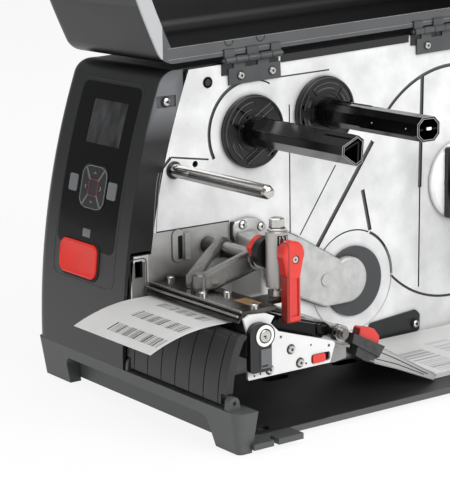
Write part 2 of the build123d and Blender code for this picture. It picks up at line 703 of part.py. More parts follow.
def toggle_bracket():
    # pale casting: lobe screwed to the plate, arm out to the tower
    lobe = poly((104.5, 127), (105.5, 137), (122, 139), (133, 135.5), (140, 128), (134, 117), (108, 117))
    body = across(fillet(lobe.vertices(), 3), plate_face, plate_face + lobe_thick)
    plan = poly((plate_face + 1, 107), (plate_face + 1, 131), (tower_x + 2, 92), (tower_x + 2, toggle_y + 5),
                (tower_x - 6, toggle_y + 5), (tower_x - 9, 89), (tower_x - 20, 90))
    body += extrude(Plane.XY.offset(toggle_z - 13) * plan, amount=15)
    return body - upright(tower_x, toggle_y, 0, 200, tower_radius)


def pressure_tower():
    tower = upright(tower_x, toggle_y, tower_low, tower_top, tower_radius)
    tower = chamfer(tower.faces().sort_by(Axis.Z)[-1].edges(), 1.2)
    tower -= rod(tower_x - 20, tower_x + 20, toggle_y, toggle_z, toggle_radius + run_gap)
    return tower - upright(tower_x, toggle_y, tower_low - 1, toggle_z - toggle_radius - 2, plunger_radius + run_gap)


def pressure_knob():
    knob = upright(tower_x, toggle_y, tower_top + seam, tower_top + 2, 7.2)
    knob += extrude(Plane.XY.offset(tower_top + 2) * Pos(tower_x, toggle_y) * RegularPolygon(5.2, 6), amount=7.5)
    return knob


def plunger():
    # pressure pin with the hex nut that bears on the head plate
    low = head_plate_top + seam
    pin = upright(tower_x, toggle_y, low, toggle_z - toggle_radius - 8, plunger_radius)
    nut = Pos(tower_x, toggle_y) * RegularPolygon(7.2, 6)
    return pin + extrude(Plane.XY.offset(low) * nut, amount=tower_low - low - plunger_lift - 0.8)


def cam_shaft():
    # lever shaft with the round cam and the pointed finger beside it
    x1 = tower_x - tower_radius - seam
    shaft = rod(x1 - 15, bracket_in - lever_thick, toggle_y, toggle_z, toggle_radius)
    shaft += rod(x1 - 7, x1, toggle_y, toggle_z, 12)
    tip = Pos(toggle_y - 10, toggle_z + 3) * Circle(1.5)
    finger = make_hull((Pos(toggle_y, toggle_z + 2) * Circle(9.5)).edges() + tip.edges())
    return shaft + across(finger, x1 - 14, x1 - 7)


lever_rise = 3.8
lever_width = 12.4


def head_lever():
    # lever head stands above its pivot screw and narrows into the arm
    x1 = bracket_in
    x0 = x1 - lever_thick
    head = Pos(toggle_y - 1, toggle_z + lever_rise) * Circle(lever_head)
    arm_top, arm_low = toggle_z + lever_rise, toggle_z + lever_rise - lever_length
    arm = Pos(toggle_y - 1, (arm_top + arm_low) / 2) * Rectangle(lever_width, lever_length)
    neck = poly((toggle_y - 1 - lever_head, arm_top), (toggle_y - 1 + lever_head, arm_top),
                (toggle_y - 1 + lever_width / 2, arm_top - 17), (toggle_y - 1 - lever_width / 2, arm_top - 17))
    lever = across(head + neck + arm, x0, x1)
    lever = chamfer(lever.faces().sort_by(Axis.X)[-1].edges(), 1.5)
    lever -= block(x1 - 1, x1 + 1, toggle_y - 4, toggle_y + 2.4, arm_low + 5, toggle_z - 14)
    return lever - rod(x1 - 1.8, x1 + 1, toggle_y, toggle_z, 3.2)


# ---- platen, side bracket, media path
def platen_roller():
    roller = rod(plate_face + 2.5, bracket_in - 2.5, platen_y, platen_z, platen_radius)
    return roller - rod(plate_face, bracket_in, platen_y, platen_z, 4)


def platen_shaft():
    shaft = rod(belt_plane - belt_width / 2 - 4, bracket_out + 5.2, platen_y, platen_z, 4)
    return shaft + wheel(platen_y, platen_z, platen_wheel, belt_plane)


def bracket_outline():
    points = [(25.7, 94.5), (29.3, 83), (29.2, 47.8), (106.2, 47.8), (111.2, 62), (109.1, 64.1),
              (57.7, 80.3), (50.3, 87.7), (53.7, 92.6), (46, 96), (31, 97)]
    face = poly(*points)
    corners = [v for v in face.vertices() if v.Y < 50 or v.X > 105]
    return fillet(corners, 1.2)


bracket_holes = ((59.7, 75.7, 1.1), (87.9, 64.6, 0.9), (105.2, 61.3, 1.2), (83.2, 51.2, 0.9), (40.4, 51.0, 0.9),
                 (35.0, 50.3, 0.9))
bracket_screw_places = ((68.9, 64.7), (77.4, 52.9), (48.9, 52.6))
slot_y, slot_z, slot_length, slot_high = 97.3, 53.3, 18.4, 7.0


def side_bracket():
    plate = across(bracket_outline(), bracket_in, bracket_out)
    plate -= rod(bracket_in - 1, bracket_out + 1, platen_y, platen_z, 8)
    for y, z, radius in bracket_holes:
        plate -= rod(bracket_in - 1, bracket_out + 1, y, z, radius)
    slot = Pos(slot_y, slot_z) * RectangleRounded(slot_length, slot_high, 2)
    return plate - across(slot, bracket_in - 1, bracket_out + 1)


def latch_block():
    # dark moulding round the platen's end, with a square release key
    y0, y1 = platen_y - 13.3, platen_y + 6.1
    z0, z1 = platen_z - 26.9, platen_z + 9.9
    face = poly((y0, z0), (y1, z0), (y1, z1), (y0, z1))
    face = fillet(face.vertices().sort_by(Axis.Y)[-2:], 8)
    face = fillet(face.vertices().sort_by(Axis.Y)[:2], 3)
    body = across(face, bracket_out, bracket_out + 5)
    body += block(bracket_out + 4, bracket_out + 6, y1 - 10.4, y1 - 1, z0 + 2.6, z0 + 17)
    return body - rod(bracket_out - 1, bracket_out + 7, platen_y, platen_z, 5.2)


def label_stock():
    # one run of stock: folded stack, web up over the deck, platen, and the printed label hanging out
    stack_front, stack_top = 226.0, floor_top + 5
    flat = web_z
    up = [(stack_front + 12, stack_top - paper), (stack_front, stack_top), (200, 28), (170, 42), (145, 51.4),
          (112, 56.6), (66, 73), (60, 75.4), (50, 87), (45, flat), (10, flat)]
    sag = label_overhang / 3.7
    tip = (-label_overhang, flat - sag)
    bend = ThreePointArc((10, flat), (5 - label_overhang / 2, flat - sag * 0.24), tip)
    run = Polyline(*up)
    lift = Pos(0, paper)
    ends = [Line(run @ 0, (lift * run) @ 0), Line(bend @ 1, (lift * bend) @ 1)]
    web = across(make_face([run, bend, lift * run, lift * bend] + ends), label_left, label_left + label_width)
    return web + block(label_left, label_left + label_width, stack_front, stack_front + 152, floor_top + seam,
                       stack_top)


def media_tray():
    # deck under the stock, fixed to the chassis plate and to the side bracket
    deck = poly((58, 50), (58, 70), (112, 54), (140, 49.5), (140, 46.5), (112, 46.5))
    cheek = poly((58, 50), (58, 78), (112, 61.5), (123.5, 57), (123.5, 48), (112, 46.5))
    tray = across(deck, plate_face, tray_edge) + across(cheek, tray_edge, bracket_in)
    slot = Pos(slot_y, slot_z) * RectangleRounded(slot_length + 2, slot_high, 2)
    return tray - across(slot, bracket_in - 20, bracket_in + 1)


def upper_guide():
    # glossy guide bar over the stock, carried by a cross shaft from the plate
    bar = Pos(89.5, 75.4) * Rot(0, 0, -16.9) * Rectangle(47, 12)
    face = fillet(bar.vertices(), 2.5) + poly((59.5, 79.5), (67, 87.4), (66, 76.2))
    bar = across(face, tower_x - 3, tower_x + 11)
    return bar + rod(plate_face, tower_x + 5, 91.5, 75.2, 3.5)


tray_edge = bracket_in - 7.6
thumb_length = 12.0


def sensor_slider():
    thumb = Pos(slot_y - 2.3, slot_z) * RectangleRounded(thumb_length, slot_high - 2 * seam, 1.7)
    return across(thumb, bracket_in - 19, bracket_out + 1.2)


def guide_roller():
    # roller with a bright knurled nut at its open end
    x1 = bracket_in - 8
    roller = rod(plate_face + 2, x1, roller_y, roller_z, roller_radius - 1)
    roller += rod(x1, bracket_in, roller_y, roller_z, roller_radius)
    roller -= tube(x1 + 3, x1 + 4.4, roller_y, roller_z, roller_radius + 4, roller_radius - 1)
    return roller - rod(plate_face, bracket_out, roller_y, roller_z, 3 + run_gap)


# ---- sliding media guide on its bar
guide_bar_y, guide_bar_z, guide_bar_radius = 139.0, 56.9, 2.5
jaw_start, jaw_end = (127.6, 67.3), (158.2, 51.9)


def jaw_top(y):
    return jaw_start[1] + (y - jaw_start[0]) * (jaw_end[1] - jaw_start[1]) / (jaw_end[0] - jaw_start[0])


def media_guide():
    # upper jaw on the bar, wedge below it and a blade back to the stack's edge
    x0, x1 = web_edge + 2, bracket_out + 3
    jaw = poly(jaw_start, jaw_end, (152.2, 44.3), (125.6, 60.2))
    wedge = poly((133, 58), (155, 47), (153.9, 43.5), (140.7, 42.4), (130.1, 49.3))
    blade = poly((146, 49), (150, 55), jaw_end, (181.5, 38.7), (224, 14), (220, 10.2), (181.6, 26.5), (145.8, 40.1))
    guide = across(jaw, x0, x1) + across(wedge, x0 + 5, x1 - 1.5) + across(blade, x0, x0 + 3)
    return guide - rod(x0 - 1, bracket_in + 2.5, guide_bar_y, guide_bar_z, guide_bar_radius + run_gap)


def guide_lock():
    # red finger tab that stands on the upper jaw
    face = poly((136.8, jaw_top(136.8)), (139, 69.2), (152.3, 65.6), (157.6, 58.8), (156.6, jaw_top(156.6)))
    upper = [v for v in face.vertices() if v.Y > jaw_top(v.X) + 1]
    return across(fillet(upper, 2), web_edge + 3.5, bracket_in - 1)


# ---- front flap
flap_low = base_height + 3
flap_axis_y, flap_axis_z, flap_pin = 6.0, base_height + 5.4, 1.6
flap_left = plate_face + 2


def flap_front(z):
    return 2.6 + 0.0054 * (z - flap_low) ** 2 - 0.02 * (z - flap_low)


def front_flap():
    z_mid = (flap_low + flap_top - 4) / 2
    z_end = flap_top - 4
    low, mid, high = [(flap_front(z), z) for z in (flap_low, z_mid, z_end)]
    outer = ThreePointArc(low, mid, high)
    inner = ThreePointArc((high[0] + flap_thick, high[1] - 1), (mid[0] + flap_thick, mid[1]),
                          (low[0] + flap_thick, low[1]))
    nose = ThreePointArc(high, (high[0] + 3.4, flap_top), (high[0] + flap_thick + 3, flap_top - 2.5))
    edges = [outer, inner, nose, Line(nose @ 1, inner @ 0), Line(inner @ 1, outer @ 0)]
    flap = across(make_face(edges), flap_left, flap_left + flap_width)
    for i in range(7):
        x = flap_left + 10.5 + i * 18.4
        flap -= block(x - 0.5, x + 0.5, -9, 30, flap_low - 1, flap_top + 1) - across(
            make_face(edges).moved(Location((0.8, 0))), x - 2, x + 2)
    for x in (flap_left, flap_left + flap_width - 5):
        flap -= block(x - 1, x + 5.5, -5, 20, flap_low - 1, flap_low + 8)
    flap += rod(flap_left + 6, flap_left + flap_width - 6, flap_axis_y, flap_axis_z, 3.2)
    return flap + rod(flap_left + 0.5, flap_left + flap_width + 5, flap_axis_y, flap_axis_z, flap_pin)


def flap_knuckles():
    knuckles = []
    right = flap_left + flap_width
    for x0, x1 in ((flap_left + 0.3, flap_left + 3.6), (right + 0.7, right + 6)):
        face = make_hull((Pos(flap_axis_y, flap_axis_z) * Circle(4.6)).edges()
                         + (Pos(flap_axis_y, base_height + 0.5) * Rectangle(10.4, 1)).edges())
        knuckles.append(across(face, x0, x1) - rod(x0 - 1, x1 + 1, flap_axis_y, flap_axis_z, flap_pin + run_gap))
    return knuckles


# ---- media door, drawn shut and swung open on its hinge line
door_gap = 1.2            # hinge line to the door's inner edge
door_drop = 3.8           # hinge line to the door's top face
door_low = 10.0
door_top_gap = 97.5       # underside of the door over the label exit
lip_width = 12.0
lip_thick = 2.0
window_y, window_z = (120.0, 380.0), (100.0, 190.0)


def hinge_z(y):
    return top_z(y) + hinge_rise


def swing_open(shape):
    along = (0, cos(radians(top_slope)), sin(radians(top_slope)))
    return shape.rotate(Axis((0, 0, hinge_z(0)), along), 180)


def crest(inset):
    # where the curved front meets the door's top
    y = 42.0
    for _ in range(5):
        y = front_y(hinge_z(y) - door_drop - inset, inset)
    return y, hinge_z(y) - door_drop - inset


def door_profile(inset, low):
    rear = base_length - 1 - inset
    cheek = base_height + 1
    step = tab_start + 2
    y_end, z_end = crest(inset)
    rear_top = hinge_z(rear) - door_drop - inset
    mid_z = (cheek + z_end) / 2
    arc = ThreePointArc((front_y(cheek, inset), cheek), (front_y(mid_z, inset), mid_z), (y_end, z_end))
    rest = Polyline((y_end, z_end), (rear, rear_top), (rear, low), (step + inset, low), (step + inset, cheek),
                    (front_y(cheek, inset), cheek))
    return make_face([arc, rest])


def door_block(inset, x0, x1, low, rounded=True):
    solid = across(door_profile(inset, low), x0, x1)
    y_end, z_end = crest(inset)
    solid = fillet(near(solid, ((x0 + x1) / 2, y_end, z_end)), nose_round - inset)
    if not rounded:
        return solid
    mid = base_length / 2
    rim = near(solid, (x1, front_y(120, inset), 120), (x1, mid, hinge_z(mid) - door_drop - inset),
               (x1, y_end + 4, z_end - 4))
    return fillet(rim, corner_round - inset)


def exit_cut(x0):
    return block(x0, door_reach - 8.5, -9, 60, -5, door_top_gap)


def rear_cut():
    # clears the tray's rear rail and leaves a slot for stock fed from behind
    y0, y1 = base_length - 22, base_length + 1
    return block(0, door_reach + 1, y0, y1, 0, base_height + 1) + block(0, door_reach - 25, y0, y1, 0, 70)


def media_door():
    door = door_block(0, door_gap + lip_thick, door_reach, door_low)
    door -= door_block(wall, door_gap, door_reach - wall, door_low - 9)
    door -= block(door_gap, door_reach - wall, tab_start - 1, 60, 0, base_height + 8)
    door -= exit_cut(0)
    door -= rear_cut()
    window = block(door_reach - 9, door_reach + 9, *window_y, *window_z)
    door -= fillet(window.edges().filter_by(Axis.X), 8)
    grip = block(door_reach - 9, door_reach + 9, 200, 290, door_low - 1, door_low + 14)
    door -= fillet(grip.edges().filter_by(Axis.X), 5)
    return swing_open(door)


def door_rim():
    rim = door_block(0, door_gap, door_gap + lip_thick, door_low, False)
    rim -= across(door_profile(lip_width, door_low - 30), door_gap - 1, door_gap + lip_thick + 1)
    rim -= exit_cut(0)
    rim -= rear_cut()
    drop = door_drop + wall
    for y in hinge_starts:
        y0, y1 = y + 1.5, y + hinge_length - 1.5
        rim -= across(poly((y0, hinge_z(y0) - drop - 2), (y1, hinge_z(y1) - drop - 2), (y1, hinge_z(y1) - drop),
                           (y0, hinge_z(y0) - drop)), 0, 9)
    return swing_open(rim)


def door_window():
    pane = block(door_reach - wall + 0.2, door_reach - 0.6, *window_y, *window_z)
    return swing_open(fillet(pane.edges().filter_by(Axis.X), 8))


def knuckle_rows(y_start, first):
    step = hinge_length / 5
    return [(y_start + i * step + seam, y_start + (i + 1) * step - seam) for i in range(first, 5, 2)]


def tilted(y0, y1, face_at):
    # solid between y0 and y1 that follows the sloping hinge line; face_at is drawn in (X, Z - hinge)
    slope = radians(top_slope)
    start = Plane(origin=(0, y0, hinge_z(y0)), x_dir=(1, 0, 0), z_dir=(0, -cos(slope), -sin(slope)))
    return extrude(start * face_at, amount=-(y1 - y0) / cos(slope))


def fixed_leaves():
    # the leaf on the plate also holds the hinge pin
    leaves = []
    for y in hinge_starts:
        flat = Pos(plate_face + leaf_thick / 2, -13.5) * Rectangle(leaf_thick, 13)
        leaf = tilted(y + 7, y + hinge_length - 1, flat)
        leaf += tilted(y, y + hinge_length, Circle(pin_radius))
        for y0, y1 in knuckle_rows(y, 1):
            arm = Pos(plate_face + leaf_thick / 2, -4.5) * Rectangle(leaf_thick, 9)
            leaf += tilted(y0, y1, Circle(knuckle_radius) + arm)
        leaves.append(leaf)
    return Compound(leaves)


def door_leaves():
    leaves = []
    level = -door_drop - wall - leaf_thick / 2
    for y in hinge_starts:
        leaf = tilted(y + 2, y + hinge_length - 2, Pos(9.5, level) * Rectangle(17, leaf_thick))
        for y0, y1 in knuckle_rows(y, 0):
            arm = Pos(0.3, level / 2) * Rectangle(1.8, -level) + Pos(1.5, level) * Rectangle(4, leaf_thick)
            leaf += tilted(max(y0, y + 2), min(y1, y + hinge_length - 2), Circle(knuckle_radius) + arm)
            leaf -= tilted(y0 - 1, y1 + 1, Circle(pin_radius + run_gap))
        leaves.append(swing_open(leaf))
    return Compound(leaves)


def plate_screws():
    # screws of the bezel side, hatch, hinge leaves and side bracket, and the dark one sunk in the plate
    places = [(46.0, 238.4, plate_face - 1.2), (301.0, 20.3, plate_face + 1.5)]
    places += [(y + dy, hinge_z(y + dy) - 13.5, plate_face + leaf_thick) for y in hinge_starts for dy in (19, 50)]
    places += [(y, z, bracket_out) for y, z in bracket_screw_places]
    heads = [chamfer(rod(x, x + 1.8, y, z, 3).faces().sort_by(Axis.X)[-1].edges(), 0.6) for y, z, x in places]
    return Compound(heads + [rod(plate_face - 2, plate_face + 0.4, 85.2, 249.9, 4.4)])


pieces = [
    base_tray, rubber_feet, front_bezel, overlay_panel, display_board, feed_button, chassis_plate,
    drive_cover, hatch_cover, top_strip, plate_screws, electronics_cover, rear_panel, power_inlet, power_rocker,
    main_board, drive_motor, motor_rotor, drive_belts, shaft_bushes, ribbon_shaft, plate_shafts, media_disc,
    media_hanger, head_plate, print_head, tear_bar, head_bolts, head_yoke, toggle_bracket, pressure_tower,
    pressure_knob, plunger, cam_shaft, head_lever, platen_roller, platen_shaft, side_bracket,
    latch_block, label_stock, media_tray, upper_guide, sensor_slider, guide_roller, media_guide, guide_lock,
    front_flap, media_door, door_rim, door_window, fixed_leaves, door_leaves,
]

if __name__ == "__main__":
    for make in pieces:
        save(make.__name__, make())
    for name in key_places:
        save(name, key_cap(name))
    for name in spindle_places:
        save(name + "_disc", spindle_disc(name))
        save(name + "_barrel", spindle_barrel(name))
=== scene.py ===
import bpy
import bmesh
import math
from mathutils import Matrix, Vector

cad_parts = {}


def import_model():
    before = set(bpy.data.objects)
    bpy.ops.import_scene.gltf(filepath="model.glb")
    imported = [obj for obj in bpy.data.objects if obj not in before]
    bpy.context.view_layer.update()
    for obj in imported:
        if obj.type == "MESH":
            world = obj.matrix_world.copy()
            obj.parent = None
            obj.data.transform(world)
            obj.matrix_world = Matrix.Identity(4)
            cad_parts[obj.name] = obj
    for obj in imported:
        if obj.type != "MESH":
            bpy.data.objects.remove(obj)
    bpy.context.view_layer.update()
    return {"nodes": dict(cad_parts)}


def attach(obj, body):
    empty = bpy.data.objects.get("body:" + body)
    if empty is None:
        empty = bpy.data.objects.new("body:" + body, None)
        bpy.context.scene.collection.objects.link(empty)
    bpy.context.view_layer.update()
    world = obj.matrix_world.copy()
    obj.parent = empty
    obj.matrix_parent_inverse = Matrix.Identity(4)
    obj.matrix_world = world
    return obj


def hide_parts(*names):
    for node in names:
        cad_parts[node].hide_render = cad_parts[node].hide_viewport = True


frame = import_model()
nodes = frame["nodes"]
print("frame loaded", len(nodes), "nodes")

midLength = 218.0  # the CAD counts Y from the front of the base and shifts it back by this much
frontArc = {"radius": 620.0, "foot": 33.0}  # the column's curved front, mm


def place(x, y, z):
    # millimetres, Y from the front of the base, to metres in the row frame
    return Vector((x, y - midLength, z)) / 1000


def frontY(z, proud=0.0):
    radius = frontArc["radius"]
    return radius - math.sqrt((radius + proud) ** 2 - (z - frontArc["foot"]) ** 2)


# ---- colours and materials
def linear(code):
    parts = [int(code[i:i + 2], 16) / 255 for i in (1, 3, 5)]
    return tuple(c / 12.92 if c <= 0.04045 else ((c + 0.055) / 1.055) ** 2.4 for c in parts) + (1.0,)


def add(tree, kind, links=(), **values):
    made = tree.nodes.new(kind)
    for key, value in values.items():
        if key in made.inputs:
            made.inputs[key].default_value = value
        else:
            setattr(made, key, value)
    for socket, source in links:
        tree.links.new(source, made.inputs[socket])
    return made


def inZone(tree, coords, zone):
    # 1 inside a box, or inside a cylinder along X when round is set; at and half are in mm
    moved = add(tree, "ShaderNodeVectorMath", [(0, coords)], operation="SUBTRACT")
    moved.inputs[1].default_value = place(*zone["at"])
    scaled = add(tree, "ShaderNodeVectorMath", [(0, moved.outputs[0])], operation="DIVIDE")
    scaled.inputs[1].default_value = [h / 1000 for h in zone["half"]]
    absolute = add(tree, "ShaderNodeVectorMath", [(0, scaled.outputs[0])], operation="ABSOLUTE")
    parts = add(tree, "ShaderNodeSeparateXYZ", [(0, absolute.outputs[0])])
    if zone.get("round"):
        flat = add(tree, "ShaderNodeCombineXYZ", [(1, parts.outputs[1]), (2, parts.outputs[2])])
        across = add(tree, "ShaderNodeVectorMath", [(0, flat.outputs[0])], operation="LENGTH")
        across = across.outputs["Value"]
    else:
        across = add(tree, "ShaderNodeMath", [(0, parts.outputs[1]), (1, parts.outputs[2])],
                     operation="MAXIMUM").outputs[0]
    reach = add(tree, "ShaderNodeMath", [(0, across), (1, parts.outputs[0])], operation="MAXIMUM")
    if zone.get("soft"):
        # fades out over this share of the half sizes
        inside = add(tree, "ShaderNodeMapRange", [("Value", reach.outputs[0])],
                     **{"From Min": 1 - zone["soft"], "To Min": 1.0, "To Max": 0.0})
    else:
        inside = add(tree, "ShaderNodeMath", [(0, reach.outputs[0])], operation="LESS_THAN")
        inside.inputs[1].default_value = 1.0
    if not zone.get("bars"):
        return inside.outputs[0]
    # printed bars: each column of the given width starts with a bar of random width and ends bare
    where = add(tree, "ShaderNodeSeparateXYZ", [(0, coords)])
    column = add(tree, "ShaderNodeMath", [(0, where.outputs[0])], operation="MULTIPLY")
    column.inputs[1].default_value = 1000 / zone["bars"]
    whole = add(tree, "ShaderNodeMath", [(0, column.outputs[0])], operation="FLOOR")
    chance = add(tree, "ShaderNodeTexWhiteNoise", [("W", whole.outputs[0])], noise_dimensions="1D")
    along = add(tree, "ShaderNodeMath", [(0, column.outputs[0])], operation="FRACT")
    inked = add(tree, "ShaderNodeMath", [(0, along.outputs[0]), (1, chance.outputs["Value"])],
                operation="LESS_THAN")
    both = add(tree, "ShaderNodeMath", [(0, inside.outputs[0]), (1, inked.outputs[0])], operation="MULTIPLY")
    return both.outputs[0]


# mottle's colour stops, crease reach and bump height in metres
looks = {"stops": (0.35, 0.65), "detail": 4.0, "roughness": 0.55, "creaseReach": 0.004, "creaseSamples": 6,
         "bumpHeight": 0.0002}


def surface(name, colour, rough, metal=0.0, grain=0.0, grainSize=0.4, mottle=0.08, mottleSize=25.0,
            coat=0.0, spread=0.05, specular=0.5, stretch=(1, 1, 1), creaseShade=0.0, zones=()):
    # one procedural finish: slow colour mottle, roughness spread and fine grain, sizes in mm.
    # stretch draws the mottle out along an axis, creaseShade paints shade into corners and creases, zones
    # repaint a region
    made = bpy.data.materials.new(name)
    made.use_nodes = True
    tree = made.node_tree
    tree.nodes.clear()
    coords = add(tree, "ShaderNodeTexCoord").outputs["Object"]
    drawn = add(tree, "ShaderNodeMapping", [("Vector", coords)], Scale=stretch)
    slow = add(tree, "ShaderNodeTexNoise", [("Vector", drawn.outputs[0])], Scale=1000 / mottleSize,
               Detail=looks["detail"], Roughness=looks["roughness"])
    base = linear(colour)
    ramp = add(tree, "ShaderNodeValToRGB", [("Fac", slow.outputs["Fac"])])
    for stop, at, share in zip(ramp.color_ramp.elements, looks["stops"], (1 - mottle, 1 + mottle)):
        stop.position = at
        stop.color = tuple(min(c * share, 1) for c in base[:3]) + (1.0,)
    tint = ramp.outputs["Color"]
    for zone in zones:
        mask = inZone(tree, coords, zone)
        mixed = add(tree, "ShaderNodeMix", data_type="RGBA", blend_type=zone.get("blend", "MIX"))
        mixed.inputs[7].default_value = linear(zone["colour"])
        tree.links.new(mask, mixed.inputs["Factor"])
        tree.links.new(tint, mixed.inputs[6])
        tint = mixed.outputs[2]
    if creaseShade:
        shade = add(tree, "ShaderNodeAmbientOcclusion", samples=looks["creaseSamples"],
                    Distance=looks["creaseReach"])
        deep = add(tree, "ShaderNodeMapRange", [("Value", shade.outputs["AO"])], **{"To Min": 1 - creaseShade})
        mixed = add(tree, "ShaderNodeMix", data_type="RGBA", blend_type="MULTIPLY")
        mixed.inputs["Factor"].default_value = 1.0
        tree.links.new(tint, mixed.inputs[6])
        tree.links.new(deep.outputs[0], mixed.inputs[7])
        tint = mixed.outputs[2]
    roughMap = add(tree, "ShaderNodeMapRange", [("Value", slow.outputs["Fac"])],
                   **{"To Min": max(rough - spread, 0.02), "To Max": min(rough + spread, 1.0)})
    shader = add(tree, "ShaderNodeBsdfPrincipled",
                 [("Base Color", tint), ("Roughness", roughMap.outputs["Result"])],
                 **{"Metallic": metal, "Coat Weight": coat, "Specular IOR Level": specular})
    if grain:
        fine = add(tree, "ShaderNodeTexNoise", [("Vector", coords)], Scale=1000 / grainSize, Detail=2.0)
        bump = add(tree, "ShaderNodeBump", [("Height", fine.outputs["Fac"])], Strength=grain,
                   Distance=looks["bumpHeight"])
        tree.links.new(bump.outputs["Normal"], shader.inputs["Normal"])
    out = add(tree, "ShaderNodeOutputMaterial")
    tree.links.new(shader.outputs["BSDF"], out.inputs["Surface"])
    return made


def patch(colour, at, half, **more):
    # repainted region of a finish: middle and half sizes in mm, more says how it is mixed in
    return {"colour": colour, "at": at, "half": half, **more}


plateMarks = [
    # painted shade on the grooves' floors
    patch("#5b5b5c", (-6.2, 240, 150), (1.9, 250, 150)),
    # duller skin below the panel line, and painted shade, darker low down and behind the head
    patch("#c6c5c3", (-3.6, 65, 100), (3, 39, 37.2), blend="MULTIPLY"),
    patch("#a09f9d", (-3.6, 56, 80), (3, 46, 50), blend="MULTIPLY", soft=0.6),
    patch("#8f8e8d", (-3.6, 74, 90), (3, 46, 30), blend="MULTIPLY", soft=0.6),
    # painted shade in the front tab's hollow, in the slot and under the bracket
    patch("#8b8a89", (-3, 16.8, 77), (5, 6.4, 39), blend="MULTIPLY"),
    patch("#0d0d0e", (-5.2, 55.7, 122.8), (1.35, 2.3, 9.5)),
    patch("#6f6e6d", (-3.6, 120, 94), (3, 22, 30), blend="MULTIPLY", soft=0.35),
]
